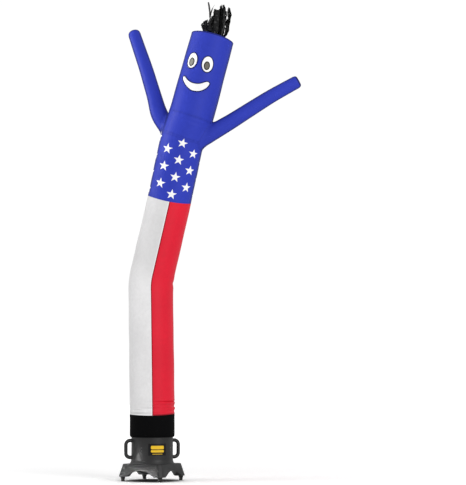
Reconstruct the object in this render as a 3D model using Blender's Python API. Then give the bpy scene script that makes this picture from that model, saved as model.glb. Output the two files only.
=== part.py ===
"""Inflatable air dancer standing on its blower, piece by piece as it is cut, sewn, moulded and fitted.

Metres, +Z up. The origin is on the floor, under the middle of the box round the whole object. The blower
has its label and one corner of its base to -Y and its two handles to +X and -X. The dancer is laid out in
a frame of its own on the blower's axis, turned by SWAY_TURN: there "right" is the way it leans, "back" is
away from its front, and an angle of 0 round its tubes looks to the front and 90 to the right.
"""

import math

import bmesh
import bpy
from mathutils import Matrix, Vector

# ---- fits ----
GAP = 0.0003  # between pieces that are sewn together or rest on each other
CLOTH = 0.0015  # wall of the nylon panels
WEBBING = 0.0025  # wall of the black cuff
APPLIQUE = 0.001  # the sewn-on face patches and the stuck-on label
SIDES = 36  # facets round the trunk, the cuff and the housing
DRUM_RADIUS = 0.1410  # the housing, which the cuff grips
DRUM_BORE = 0.1360
FACET = math.radians(360 / SIDES)
FACET_GAP = GAP / math.cos(FACET / 2)  # a gap measured square to a facet, out at its corners

# ---- dancer: the trunk's tube follows this spine, from the foot of the cuff to the rim of the head ----
SWAY_TURN = math.radians(-15)
SPINE = (
    # place, right, back, up, radius of the tube
    ("foot", 0.0000, 0.000, 0.2940, 0.1525),
    ("collar", 0.0000, 0.000, 0.4425, 0.1525),
    ("bend", -0.0155, -0.005, 1.3555, 0.1525),
    ("flag", 0.1096, -0.080, 1.9062, 0.1495),
    ("armpit", 0.1908, -0.134, 2.2987, 0.1500),
    ("neck", 0.2531, -0.165, 2.4647, 0.1550),
    ("rim", 0.3997, -0.165, 3.0146, 0.1480),
)
ROUNDING = 0.11  # length over which the spine turns each corner
YOKE_UP = 0.036  # the seam between the star band and the torso is this far above the armpits
CREASES = (
    # place, further up, angle round, half length up, half width round, height (troughs are below 0)
    ("bend", 0.000, 118, 0.022, 42, -0.0050),
    ("bend", 0.048, 108, 0.024, 38, 0.0025),
    ("bend", -0.048, 108, 0.024, 38, 0.0025),
    ("collar", 0.026, 72, 0.009, 34, -0.0045),
    ("collar", 0.047, 100, 0.009, 26, 0.0040),
    ("collar", 0.066, 66, 0.010, 30, -0.0035),
    ("collar", 0.030, -52, 0.012, 30, 0.0040),
    ("collar", 0.012, -30, 0.010, 26, -0.0035),
)
BODY_RINGS = (
    # place, rings at these distances from it
    ("collar", (0.014, 0.026, 0.036, 0.047, 0.058, 0.070, 0.090, 0.200, 0.340, 0.480, 0.620, 0.760)),
    ("bend", (-0.070, -0.045, -0.022, 0.0, 0.022, 0.045, 0.070, 0.180, 0.300, 0.420)),
)
CUFF = (
    # up from its foot, radius inside: drawn in on the housing, clear of its beads, then up to the tube
    (0.0000, DRUM_RADIUS + FACET_GAP),
    (0.0050, 0.1455),
    (0.0110, 0.1488),
    (0.0300, 0.1500),
    (0.1150, 0.1495),
    (0.1485, 0.1500),
)

# ---- arms: each on its own spine, which starts inside the trunk ----
ARM_SIDES = 20
ARM_ROOT_RADIUS = 0.0555
ARM_TIP_RADIUS = 0.0430
ARM_SEAM = 0.0100  # cloth of the torso left standing inside each arm's root
ARM_RINGS = 10
ARMS = (
    # name, spine points (right, back, up)
    (
        "arm_left",
        (
            (0.1700, -0.150, 2.262),
            (0.0900, -0.098, 2.410),
            (0.0365, -0.060, 2.516),
            (-0.0530, 0.020, 2.829),
            (-0.1450, 0.122, 3.120),
        ),
    ),
    (
        "arm_right",
        (
            (0.2100, -0.168, 2.238),
            (0.3600, -0.197, 2.330),
            (0.5140, -0.225, 2.421),
            (0.7860, -0.270, 2.592),
            (0.9820, -0.300, 2.699),
        ),
    ),
)
ARM_END = (
    # back from the tip, share of the radius: the rounded closed end
    (0.016, 1.00),
    (0.005, 0.95),
    (0.000, 0.80),
)

# ---- head: crown, hair and face ----
CROWN = (
    # radius, height over the rim, from its middle out to the rim
    (0.0000, 0.0120),
    (0.0800, 0.0120),
    (0.1150, 0.0090),
    (0.1480, 0.0000),
)
HAIR_ROOTS = 48  # segments round the pad that the hair is sewn to, every other one with a strip
HAIR_PAD = (0.0580, 0.0760, 0.006)  # inner and outer radius of the segments, height
HAIR_LEAN = Vector((0.13, 0.02, 1.0)).normalized()  # the way the hair is blown
HAIR = (
    # length, how far out at a quarter, at half, at three quarters and at the tip, width;
    # from the right round by the back, the left and the front
    (0.212, 0.100, 0.099, 0.104, 0.082, 0.020),
    (0.190, 0.090, 0.094, 0.088, 0.082, 0.018),
    (0.205, 0.082, 0.086, 0.080, 0.072, 0.024),
    (0.205, 0.068, 0.070, 0.068, 0.060, 0.020),
    (0.195, 0.084, 0.088, 0.084, 0.076, 0.022),
    (0.185, 0.064, 0.066, 0.062, 0.060, 0.018),
    (0.170, 0.084, 0.090, 0.084, 0.078, 0.022),
    (0.185, 0.064, 0.066, 0.062, 0.060, 0.018),
    (0.150, 0.084, 0.088, 0.080, 0.075, 0.022),
    (0.185, 0.064, 0.066, 0.060, 0.058, 0.018),
    (0.120, 0.080, 0.085, 0.075, 0.070, 0.020),
    (0.135, 0.064, 0.066, 0.058, 0.054, 0.018),
    (0.100, 0.075, 0.084, 0.086, 0.070, 0.022),
    (0.217, 0.062, 0.050, 0.050, 0.066, 0.011),
    (0.110, 0.078, 0.086, 0.086, 0.068, 0.020),
    (0.160, 0.062, 0.064, 0.058, 0.054, 0.018),
    (0.130, 0.080, 0.086, 0.080, 0.075, 0.022),
    (0.206, 0.064, 0.076, 0.084, 0.055, 0.012),
    (0.150, 0.086, 0.090, 0.086, 0.080, 0.022),
    (0.184, 0.064, 0.065, 0.062, 0.060, 0.020),
    (0.217, 0.074, 0.072, 0.070, 0.066, 0.024),
    (0.222, 0.084, 0.090, 0.084, 0.074, 0.024),
    (0.105, 0.100, 0.106, 0.100, 0.092, 0.022),
    (0.135, 0.104, 0.096, 0.106, 0.098, 0.022),
)
HAIR_STEPS = (0.08, 0.25, 0.50, 0.75, 1.00)  # shares of the length, the first where it leaves the pad
HAIR_FLARE = (0.10, 0.50, 0.85, 1.00, 1.00)  # shares of the way from a segment's width to its own
HAIR_THICKNESS = 0.002
FACE_TURN = -14.9  # where the face's middle is round the head, in degrees
FACE = (
    # name, down from the rim, degrees across from the face's middle, width, height, layer
    ("eye_left", 0.2110, -21.5, 0.075, 0.108, 0),
    ("eye_right", 0.2155, 21.5, 0.075, 0.108, 0),
    ("pupil_left", 0.2215, -21.6, 0.039, 0.058, 1),
    ("pupil_right", 0.2265, 20.8, 0.039, 0.058, 1),
)
EYE_TILT = math.radians(6)  # the eyes' tops lean together to the left
EYE_POINTS = 20
SMILE_DOWN = 0.3400  # the smile's corners, down from the rim
SMILE_ACROSS = 1.8  # degrees to the right of the face's middle
SMILE_HALF_WIDTH = 0.0930
SMILE_SAG = 0.0510  # its middle line hangs this far below the corners
SMILE_HALF_THICKNESS = 0.0275  # at its middle
SMILE_TILT = math.radians(-2.5)
SMILE_POINTS = 14

# ---- blower: a square base with four feet under the round housing ----
BEADS = (0.3055, 0.3480)  # heights of the two beads that hold the cuff
BEAD_RADIUS = 0.1465
NECK_RADIUS = 0.1425
LIP_TOP = 0.3620
FLARE_RADIUS = 0.1500
DECK_TOP = 0.1165
DECK = 0.006
SKIRT_FOOT = 0.0310
SKIRT_TOP_HALF = 0.1510
SKIRT_FOOT_HALF = 0.1720
SKIRT_WALL = 0.005
CORNER_CUT = 0.0275  # width of the flat across each corner
LEG_REACH = 0.154  # the hollow under the deck stops this far out along each diagonal
ARCH_HALF = 0.114
ARCH_TOP = 0.0735
ARCH_POINTS = 12
GRILLE_RADIUS = 0.123
SLOT = 0.014
SLOT_PITCH = 0.026
SLOTS = 9
FEET = (("foot_front", -90), ("foot_right", 0), ("foot_back", 90), ("foot_left", 180))
FOOT_REACH = 0.2030
FOOT = ((0.0115, 0.0), (0.0130, 0.0180), (0.0148, 0.0195), (0.0165, SKIRT_FOOT - GAP))
FOOT_SIDES = 20
HANDLE_TUBE = 0.0110
HANDLE_OUT = 0.1830
HANDLE_LOW = 0.1590
HANDLE_HIGH = 0.2720
HANDLE_CORNER = 0.0290
LABEL_HALF_ANGLE = math.radians(25.3)
LABEL_FOOT = 0.1750
LABEL_TOP = 0.2530
GLAND = ((0.0105, 0.0), (0.0105, 0.006), (0.0075, 0.008), (0.0060, 0.024))
GLAND_HEIGHT = 0.1650


def finish(name, colour, roughness):
    """A plain material of one colour."""
    material = bpy.data.materials.new(name)
    material.use_nodes = True
    shader = material.node_tree.nodes["Principled BSDF"]
    shader.inputs["Base Color"].default_value = (*colour, 1)
    shader.inputs["Roughness"].default_value = roughness
    material.diffuse_color = (*colour, 1)
    return material


def add(name, bm, material, parent, smooth_below=30):
    """Turn a bmesh into a named object with its faces pointing out."""
    bmesh.ops.recalc_face_normals(bm, faces=bm.faces)
    mesh = bpy.data.meshes.new(name)
    bm.to_mesh(mesh)
    bm.free()
    mesh.shade_smooth()
    mesh.set_sharp_from_angle(angle=math.radians(smooth_below))
    thing = bpy.data.objects.new(name, mesh)
    thing.data.materials.append(material)
    thing.parent = parent
    bpy.context.collection.objects.link(thing)
    return thing


def cutter(name, bm, parent):
    """A solid that only cuts others."""
    thing = add(name, bm, finish(name, (0.5, 0.5, 0.5), 0.5), parent)
    thing.display_type = "WIRE"
    thing.hide_render = True
    return thing


def boolean(thing, operation, other):
    """Cut a thing with another, or keep what they share."""
    step = thing.modifiers.new(other.name, "BOOLEAN")
    step.operation = operation
    step.solver = "EXACT"
    step.object = other


class Spine:
    """A line through a table of points, with its corners rounded and a radius along it."""

    def __init__(self, points, radii, rounding):
        self.points = [Vector(p) for p in points]
        self.radii = radii
        self.rounding = rounding
        self.marks = [0.0]
        for a, b in zip(self.points, self.points[1:]):
            self.marks.append(self.marks[-1] + (b - a).length)

    @property
    def length(self):
        return self.marks[-1]

    def corner_line(self, s):
        """The point at distance s along the straight runs, which go on past both ends."""
        i = 0
        while i < len(self.marks) - 2 and s > self.marks[i + 1]:
            i += 1
        share = (s - self.marks[i]) / (self.marks[i + 1] - self.marks[i])
        return self.points[i].lerp(self.points[i + 1], share)

    def centre(self, s):
        spots = [self.corner_line(s + self.rounding * k / 8) for k in range(-4, 5)]
        return sum(spots, Vector()) / len(spots)

    def axes(self, s):
        """The directions right, back and along at distance s."""
        along = (self.centre(s + 0.004) - self.centre(s - 0.004)).normalized()
        right = (Vector((1, 0, 0)) - along * along.x).normalized()
        return right, along.cross(right), along

    def radius(self, s):
        i = 0
        while i < len(self.marks) - 2 and s > self.marks[i + 1]:
            i += 1
        share = min(max((s - self.marks[i]) / (self.marks[i + 1] - self.marks[i]), 0), 1)
        return self.radii[i] + (self.radii[i + 1] - self.radii[i]) * share

    def point(self, s, angle, radius):
        right, back, _ = self.axes(s)
        return self.centre(s) + (right * math.sin(angle) - back * math.cos(angle)) * radius


TRUNK = Spine([row[1:4] for row in SPINE], [row[4] for row in SPINE], ROUNDING)
PLACE = {row[0]: mark for row, mark in zip(SPINE, TRUNK.marks)}
PLACE["yoke"] = PLACE["armpit"] + YOKE_UP


def turn_between(a, b):
    """The smallest turn between two angles in degrees."""
    return (a - b + 180) % 360 - 180


def crease(s, angle):
    """How far the creases raise the cloth at a place on the trunk."""
    height = 0.0
    for place, up, around, half_up, half_round, rise in CREASES:
        along = (s - PLACE[place] - up) / half_up
        across = turn_between(math.degrees(angle), around) / half_round
        height += rise * math.exp(-along * along - across * across)
    return height


def trunk_surface(s, angle, lift=0.0):
    """A point of the trunk's cloth: lift 0 is its outer face."""
    return TRUNK.point(s, angle, TRUNK.radius(s) + crease(s, angle) + lift)


def ring_angles(first=0, last=SIDES):
    return [FACET * k for k in range(first, last)]


def between(a, b, steps):
    """Distances along the trunk from one place to another, just clear of both seams."""
    low = PLACE[a] + GAP / 2
    high = PLACE[b] - GAP / 2
    return [low + (high - low) * k / steps for k in range(steps + 1)]


def skin(bm, rows, closed):
    """Join rows of vertices with quads."""
    for low, high in zip(rows, rows[1:]):
        count = len(low)
        for j in range(count if closed else count - 1):
            k = (j + 1) % count
            bm.faces.new((low[j], low[k], high[k], high[j]))


def sheet(stations, angles, surface, wall, closed, lift=0.0):
    """A sheet of cloth round a tube as one closed body: two faces over one grid, joined at the edges."""
    bm = bmesh.new()
    outer = [[bm.verts.new(surface(s, a, lift)) for a in angles] for s in stations]
    inner = [[bm.verts.new(surface(s, a, lift - wall)) for a in angles] for s in stations]
    skin(bm, outer, closed)
    skin(bm, inner, closed)
    skin(bm, [outer[0], inner[0]], closed)
    skin(bm, [outer[-1], inner[-1]], closed)
    if not closed:
        for j in (0, -1):
            skin(bm, [[row[j] for row in outer], [row[j] for row in inner]], False)
    return bm


def plug(stations, angles, surface, lift):
    """The filled inside of a tube, for cutting."""
    bm = bmesh.new()
    rows = [[bm.verts.new(surface(s, a, lift)) for a in angles] for s in stations]
    skin(bm, rows, True)
    bm.faces.new(rows[0])
    bm.faces.new(rows[-1])
    return bm


def turned(profile, sides, phase=0.0, frame=Matrix()):
    """Spin a profile of (radius, height) points about an axis; radius 0 closes it on the axis."""
    bm = bmesh.new()
    closed = profile[0][0] > 0 and profile[-1][0] > 0
    verts = [bm.verts.new((r * math.cos(phase), r * math.sin(phase), z)) for r, z in profile]
    edges = [bm.edges.new(pair) for pair in zip(verts, verts[1:])]
    if closed:
        edges.append(bm.edges.new((verts[-1], verts[0])))
    bmesh.ops.spin(bm, geom=verts + edges, cent=(0, 0, 0), axis=(0, 0, 1), angle=math.tau, steps=sides)
    bmesh.ops.remove_doubles(bm, verts=bm.verts, dist=0.000001)
    bm.transform(frame)
    return bm


def body_panels(parent, white, red):
    """The lower tube's two half panels, joined down its front and back."""
    stations = [PLACE["collar"] + GAP / 2]
    for place, distances in BODY_RINGS:
        stations += [PLACE[place] + d for d in distances]
    stations.append(PLACE["flag"] - GAP / 2)
    edge = GAP / 2 / TRUNK.radii[0]
    half = SIDES // 2
    for name, first, material in (("body_white", -half, white), ("body_red", 0, red)):
        angles = ring_angles(first, first + half + 1)
        angles[0] += edge
        angles[-1] -= edge
        add(name, sheet(stations, angles, trunk_surface, CLOTH, False), material, parent)


def cuff(parent, material):
    """The black collar that grips the housing's neck."""
    def surface(s, angle, lift):
        i = 0
        while i < len(CUFF) - 2 and s > CUFF[i + 1][0]:
            i += 1
        (low, wide), (high, narrow) = CUFF[i], CUFF[i + 1]
        inside = wide + (narrow - wide) * (s - low) / (high - low)
        return TRUNK.point(s, angle, inside + WEBBING + lift)

    stations = [row[0] for row in CUFF]
    stations[-1] -= GAP / 2
    add("cuff", sheet(stations, ring_angles(), surface, WEBBING, True), material, parent)


def arm_spine(points):
    """An arm's spine, with a radius that shrinks evenly from its root to its tip."""
    spine = Spine(points, [ARM_ROOT_RADIUS] * len(points), ROUNDING)
    root = spine.marks[1]
    for i, mark in enumerate(spine.marks[1:], 1):
        spine.radii[i] += (ARM_TIP_RADIUS - ARM_ROOT_RADIUS) * (mark - root) / (spine.length - root)
    return spine


def arm_surface(spine):
    return lambda s, angle, lift: spine.point(s, angle, spine.radius(s) + lift)


def arm_sleeve(spine):
    """A tapered sleeve, open where it meets the torso and closed with a rounded end."""
    bm = bmesh.new()
    angles = [math.tau * k / ARM_SIDES for k in range(ARM_SIDES)]
    body = [(spine.length - ARM_END[0][0]) * k / ARM_RINGS for k in range(ARM_RINGS)]
    ends = []
    for wall in (0.0, CLOTH):
        rings = [(s, spine.radius(s) - wall) for s in body]
        for back, share in ARM_END:
            rings.append((spine.length - back - wall, ARM_TIP_RADIUS * share - wall))
        rows = [[bm.verts.new(spine.point(s, a, r)) for a in angles] for s, r in rings]
        skin(bm, rows, True)
        bm.faces.new(rows[-1])
        ends.append(rows[0])
    skin(bm, ends, True)
    return bm


def chest_and_arms(parent, blue):
    """The star band and the plain torso over it, which share two arm holes, and an arm sewn round each."""
    band_rings = between("flag", "yoke", 4)
    torso_rings = between("yoke", "neck", 3)
    band = add("star_band", sheet(band_rings, ring_angles(), trunk_surface, CLOTH, True), blue, parent)
    torso = add("torso", sheet(torso_rings, ring_angles(), trunk_surface, CLOTH, True), blue, parent)
    around = band_rings[1:] + torso_rings[1:-1] + between("neck", "rim", 7)[:5]
    trunk_core = cutter("trunk_core", plug(around, ring_angles(), trunk_surface, FACET_GAP), parent)
    for name, points in ARMS:
        spine = arm_spine(points)
        rings = [spine.length * k / 12 for k in range(7)]
        angles = [math.tau * k / ARM_SIDES for k in range(ARM_SIDES)]
        core = cutter(name + "_core", plug(rings, angles, arm_surface(spine), -CLOTH - ARM_SEAM), parent)
        boolean(band, "DIFFERENCE", core)
        boolean(torso, "DIFFERENCE", core)
        arm = add(name, arm_sleeve(spine), blue, parent)
        boolean(arm, "DIFFERENCE", trunk_core)


def rim_frame():
    """The frame of the head's rim: X right, Z along the head."""
    right, back, along = TRUNK.axes(PLACE["rim"])
    frame = Matrix((right, back, along)).transposed().to_4x4()
    frame.translation = TRUNK.centre(PLACE["rim"])
    return frame


def head(parent, blue):
    """The head's tube and the round crown that closes it."""
    rings = between("neck", "rim", 7)
    add("head", sheet(rings, ring_angles(), trunk_surface, CLOTH, True), blue, parent)
    top = [(r, GAP / 2 + CLOTH + h) for r, h in CROWN]
    under = [(r, z - CLOTH) for r, z in reversed(top)]
    add("crown", turned(top + under, SIDES, 0.0, rim_frame()), blue, parent)


def hair(parent, black):
    """A round pad with black strips sewn into it: every other segment of its rim runs up into one."""
    bm = bmesh.new()
    frame = rim_frame()
    foot = CROWN[0][1] + CLOTH + GAP * 1.5
    inner, outer, height = HAIR_PAD
    step = math.tau / HAIR_ROOTS

    def ring(radius, z):
        spots = [(radius * math.cos(step * k), radius * math.sin(step * k), z) for k in range(HAIR_ROOTS)]
        return [bm.verts.new(frame @ Vector(spot)) for spot in spots]

    low, top_out, top_in = ring(outer, foot), ring(outer, foot + height), ring(inner, foot + height)
    bm.faces.new(low)
    skin(bm, [low, top_out], True)
    bm.faces.new(top_in)
    for k in range(HAIR_ROOTS):
        n = (k + 1) % HAIR_ROOTS
        root = (top_in[k], top_out[k], top_out[n], top_in[n])
        if k % 2:
            bm.faces.new(root)
        else:
            strip(bm, frame, root, step * (k + 0.5), HAIR[k // 2])
    add("hair", bm, black, parent, 60)


def strip(bm, frame, root, angle, row):
    """One strip of hair, which leaves its root as wide as a segment and flares to its tip."""
    length, *reach, width = row
    middle = (HAIR_PAD[0] + HAIR_PAD[1]) / 2
    reach.insert(0, (middle + reach[0]) / 2)
    root_width = (root[1].co - root[2].co).length
    base = frame @ Vector((0, 0, CROWN[0][1] + HAIR_PAD[2]))
    rows = [root]
    outward = frame.to_3x3() @ Vector((math.cos(angle), math.sin(angle), 0))
    across = HAIR_LEAN.cross(outward).normalized()
    for up, out, wide in zip(HAIR_STEPS, reach, HAIR_FLARE):
        centre = base + HAIR_LEAN * length * up + outward * out
        side = across * (root_width + (width - root_width) * wide) / 2
        thick = outward * HAIR_THICKNESS / 2
        corners = (centre - side - thick, centre - side + thick, centre + side + thick, centre + side - thick)
        rows.append([bm.verts.new(c) for c in corners])
    skin(bm, rows, True)
    bm.faces.new(rows[-1])


def tilted(points, tilt):
    """Points turned about their origin, up to the left for a tilt above 0."""
    c, s = math.cos(tilt), math.sin(tilt)
    return [(x * c - z * s, x * s + z * c) for x, z in points]


def oval(width, height):
    """Points round an ellipse."""
    turns = [math.tau * k / EYE_POINTS for k in range(EYE_POINTS)]
    return tilted([(width / 2 * math.cos(t), height / 2 * math.sin(t)) for t in turns], EYE_TILT)


def crescent():
    """Points round the smile: a sagging middle line, thickened square to itself and blunt at its ends."""
    lower, upper = [], []
    for k in range(SMILE_POINTS + 1):
        turn = math.pi * (k / SMILE_POINTS - 0.5)
        x = SMILE_HALF_WIDTH * math.sin(turn)
        z = -SMILE_SAG * math.cos(turn) ** 2
        slope = 2 * SMILE_SAG * x / SMILE_HALF_WIDTH**2
        half = SMILE_HALF_THICKNESS * math.cos(turn) * math.sqrt(1 + math.sin(turn) ** 2)
        square_on = Vector((-slope, 1)).normalized() * half
        lower.append((x - square_on.x, z - square_on.y))
        upper.append((x + square_on.x, z + square_on.y))
    return tilted(lower + upper[-2:0:-1], SMILE_TILT)


def patch(name, outline, down, across, layer, material, parent):
    """A face patch: the part of a thin layer over the head that lies within an outline."""
    s = PLACE["rim"] - down
    turn = math.radians(FACE_TURN + across)
    right, back, along = TRUNK.axes(s)
    outward = right * math.sin(turn) - back * math.cos(turn)
    side = along.cross(outward)
    middle = TRUNK.centre(s)
    bm = bmesh.new()
    rows = []
    for reach in (0.6, 1.4):
        depth = outward * TRUNK.radius(s) * reach
        rows.append([bm.verts.new(middle + depth + side * x + along * z) for x, z in outline])
    skin(bm, rows, True)
    bm.faces.new(rows[0])
    bm.faces.new(rows[1])
    outline_cutter = cutter(name + "_outline", bm, parent)
    lift = APPLIQUE + FACET_GAP + (APPLIQUE + FACET_GAP) * layer
    first = round(turn / FACET) - SIDES // 4
    angles = ring_angles(first, first + SIDES // 2 + 1)
    cloth = sheet(between("neck", "rim", 7), angles, trunk_surface, APPLIQUE, False, lift)
    boolean(add(name, cloth, material, parent), "INTERSECT", outline_cutter)


def face(parent, white, dark):
    """Two eyes with pupils on top, and a smile."""
    for name, down, across, width, height, layer in FACE:
        patch(name, oval(width, height), down, across, layer, dark if layer else white, parent)
    patch("smile", crescent(), SMILE_DOWN, SMILE_ACROSS, 0, white, parent)


def drum(parent, material):
    """The round housing: flared foot, two beads and a lip that hold the cuff."""
    foot = DECK_TOP + GAP
    outside = [(FLARE_RADIUS, foot), (FLARE_RADIUS - 0.0015, foot + 0.004), (0.1505, foot + 0.010)]
    outside += [(0.1475, foot + 0.018), (DRUM_RADIUS, foot + 0.030), (DRUM_RADIUS, BEADS[0] - 0.008)]
    for height in BEADS:
        outside += [(BEAD_RADIUS, height - 0.003), (BEAD_RADIUS, height + 0.003), (NECK_RADIUS, height + 0.007)]
        if height == BEADS[0]:
            outside.append((NECK_RADIUS, BEADS[1] - 0.007))
    outside.append((NECK_RADIUS, LIP_TOP))
    inside = [(DRUM_BORE, LIP_TOP), (DRUM_BORE, foot)]
    add("housing", turned(outside + inside, SIDES, FACET / 2), material, parent)


def square(half, cut, z):
    """A square with a flat across each corner, turned so that its corners lie on the X and Y axes."""
    points = []
    for quarter in range(4):
        for x, y in ((half, half - cut / math.sqrt(2)), (half - cut / math.sqrt(2), half)):
            spot = Vector((x, y, z))
            points.append(Matrix.Rotation(math.pi / 2 * quarter + math.pi / 4, 3, "Z") @ spot)
    return points


def loft(levels):
    """A closed body through outlines of equal count."""
    bm = bmesh.new()
    rows = [[bm.verts.new(p) for p in level] for level in levels]
    skin(bm, rows, True)
    bm.faces.new(rows[0])
    bm.faces.new(rows[-1])
    return bm


def corner_cut(half, reach):
    """The width of a corner's flat that lies at a given reach from the middle."""
    return 2 * (half * math.sqrt(2) - reach)


def prism(outline, turn, length):
    """An outline of (across, up) points pushed through the base, square to two of its sides."""
    spin = Matrix.Rotation(turn, 3, "Z")
    levels = [[spin @ Vector((x, y, z)) for x, z in outline] for y in (-length / 2, length / 2)]
    return loft(levels)


def base(parent, material):
    """The square skirt: a deck with a slotted air inlet, four solid legs and an arch in each side."""
    body = add(
        "base",
        loft((square(SKIRT_FOOT_HALF, CORNER_CUT, SKIRT_FOOT), square(SKIRT_TOP_HALF, CORNER_CUT, DECK_TOP))),
        material,
        parent,
    )
    low, high = SKIRT_FOOT_HALF - SKIRT_WALL, SKIRT_TOP_HALF - SKIRT_WALL
    hollow = loft(
        (
            square(low, corner_cut(low, LEG_REACH), SKIRT_FOOT - 0.010),
            square(high, corner_cut(high, LEG_REACH), DECK_TOP - DECK),
        )
    )
    boolean(body, "DIFFERENCE", cutter("base_hollow", hollow, parent))
    arch = [(ARCH_HALF, SKIRT_FOOT - 0.020), (-ARCH_HALF, SKIRT_FOOT - 0.020)]
    for k in range(ARCH_POINTS + 1):
        x = ARCH_HALF * (2 * k / ARCH_POINTS - 1)
        arch.append((x, SKIRT_FOOT + (ARCH_TOP - SKIRT_FOOT) * math.cos(math.pi / 2 * x / ARCH_HALF)))
    for name, turn in (("arch_left", math.pi / 4), ("arch_right", -math.pi / 4)):
        boolean(body, "DIFFERENCE", cutter(name, prism(arch, turn, 0.5), parent))
    for k in range(SLOTS):
        y = SLOT_PITCH * (k - (SLOTS - 1) / 2)
        half = math.sqrt(GRILLE_RADIUS**2 - (abs(y) + SLOT / 2) ** 2)
        slot = bmesh.new()
        bmesh.ops.create_cube(slot, size=1, matrix=Matrix.Translation((0, y, DECK_TOP)))
        for v in slot.verts:
            v.co.x *= 2 * half
            v.co.y = y + (v.co.y - y) * SLOT
            v.co.z = DECK_TOP + (v.co.z - DECK_TOP) * DECK * 4
        boolean(body, "DIFFERENCE", cutter(f"slot_{k}", slot, parent))


def feet(parent, material):
    """Four stepped feet, one under each corner."""
    profile = [(0.0, FOOT[0][1]), *FOOT, (0.0, FOOT[-1][1])]
    for name, bearing in FEET:
        turn = math.radians(bearing)
        spot = Matrix.Translation((FOOT_REACH * math.cos(turn), FOOT_REACH * math.sin(turn), 0))
        add(name, turned(profile, FOOT_SIDES, 0.0, spot), material, parent)


def handle_route():
    """The handle's middle line from the housing out, down and back, in a plane through the axis."""
    start = DRUM_RADIUS * math.cos(FACET / 2) + GAP
    route = [(start, HANDLE_HIGH)]
    out = HANDLE_OUT - HANDLE_CORNER
    for middle, first in ((HANDLE_HIGH - HANDLE_CORNER, 90), (HANDLE_LOW + HANDLE_CORNER, 0)):
        for k in range(5):
            t = math.radians(first - 22.5 * k)
            route.append((out + HANDLE_CORNER * math.cos(t), middle + HANDLE_CORNER * math.sin(t)))
    route.append((start, HANDLE_LOW))
    return route


def handles(parent, material):
    """A round-section grip on each side of the housing."""
    for name, side in (("handle_right", 1), ("handle_left", -1)):
        curve = bpy.data.curves.new(name, "CURVE")
        curve.dimensions = "3D"
        curve.bevel_depth = HANDLE_TUBE
        curve.bevel_resolution = 4
        curve.use_fill_caps = True
        route = handle_route()
        line = curve.splines.new("POLY")
        line.points.add(len(route) - 1)
        for point, (out, up) in zip(line.points, route):
            point.co = (side * out, 0, up, 1)
        thing = bpy.data.objects.new(name, curve)
        thing.data.materials.append(material)
        thing.parent = parent
        bpy.context.collection.objects.link(thing)


def label(parent, material):
    """The bare label plate bent round the front of the housing."""
    def surface(z, angle, lift):
        flat = math.cos(FACET / 2) / math.cos((angle + FACET / 2) % FACET - FACET / 2)
        radius = DRUM_RADIUS * flat + GAP + APPLIQUE + lift
        return Vector((radius * math.sin(angle), -radius * math.cos(angle), z))

    inner = [FACET * (k + 0.5) for k in range(-3, 3) if abs(FACET * (k + 0.5)) < LABEL_HALF_ANGLE]
    angles = [-LABEL_HALF_ANGLE, *inner, LABEL_HALF_ANGLE]
    add("label", sheet((LABEL_FOOT, LABEL_TOP), angles, surface, APPLIQUE, False), material, parent)


def gland(parent, material):
    """The strain relief at the back of the housing, where a lead would come out."""
    profile = [(0.0, GLAND[0][1]), *GLAND, (0.0, GLAND[-1][1])]
    frame = Matrix.Translation((0, DRUM_RADIUS * math.cos(FACET / 2) + GAP, GLAND_HEIGHT))
    frame @= Matrix.Rotation(-math.pi / 2, 4, "X")
    add("cord_gland", turned(profile, 16, 0.0, frame), material, parent)


def empty(name, parent=None):
    thing = bpy.data.objects.new(name, None)
    thing.parent = parent
    bpy.context.collection.objects.link(thing)
    return thing


def blower(parent):
    plastic = finish("moulded_plastic", (0.045, 0.045, 0.046), 0.55)
    rubber = finish("foot_rubber", (0.02, 0.02, 0.02), 0.8)
    drum(parent, plastic)
    base(parent, plastic)
    handles(parent, plastic)
    feet(parent, rubber)
    label(parent, finish("label_film", (0.012, 0.012, 0.013), 0.35))
    gland(parent, rubber)


def dancer(parent):
    white = finish("white_nylon", (0.72, 0.71, 0.72), 0.5)
    red = finish("red_nylon", (0.73, 0.022, 0.040), 0.5)
    blue = finish("blue_nylon", (0.045, 0.065, 0.480), 0.5)
    black = finish("black_webbing", (0.006, 0.006, 0.006), 0.8)
    cuff(parent, black)
    body_panels(parent, white, red)
    chest_and_arms(parent, blue)
    head(parent, blue)
    hair(parent, finish("black_satin", (0.006, 0.006, 0.007), 0.35))
    face(parent, white, finish("grey_nylon", (0.06, 0.055, 0.055), 0.6))


def centre_on_origin(root):
    """Move everything so that the middle of the box round all pieces stands over the origin."""
    bpy.context.view_layer.update()
    graph = bpy.context.evaluated_depsgraph_get()
    spots = []
    for thing in bpy.context.scene.objects:
        if thing.type != "EMPTY" and not thing.hide_render:
            shown = thing.evaluated_get(graph)
            mesh = shown.to_mesh()
            spots += [thing.matrix_world @ v.co for v in mesh.vertices]
            shown.to_mesh_clear()
    for axis in (0, 1):
        values = [spot[axis] for spot in spots]
        root.location[axis] = -(min(values) + max(values)) / 2


def main():
    for thing in list(bpy.data.objects):
        bpy.data.objects.remove(thing, do_unlink=True)
    root = empty("air_dancer_on_blower")
    blower_root = empty("blower", root)
    dancer_root = empty("dancer", root)
    dancer_root.rotation_euler.z = SWAY_TURN
    blower(blower_root)
    dancer(dancer_root)
    centre_on_origin(root)


main()
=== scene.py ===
"""Inflatable air dancer on its blower: the sewn cloth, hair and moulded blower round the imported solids.

Metres, +Z up. The dancer is laid out in a frame of its own on the blower's axis, turned by SWAY_TURN:
"right" is the way it leans, "back" is away from its front, and an angle of 0 round its tubes looks to
the front and 90 degrees to the right.
"""

import math

import bmesh
import bpy
import numpy as np
from bpy.props import FloatProperty, FloatVectorProperty, IntProperty, PointerProperty
from mathutils import Matrix, Vector


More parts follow.
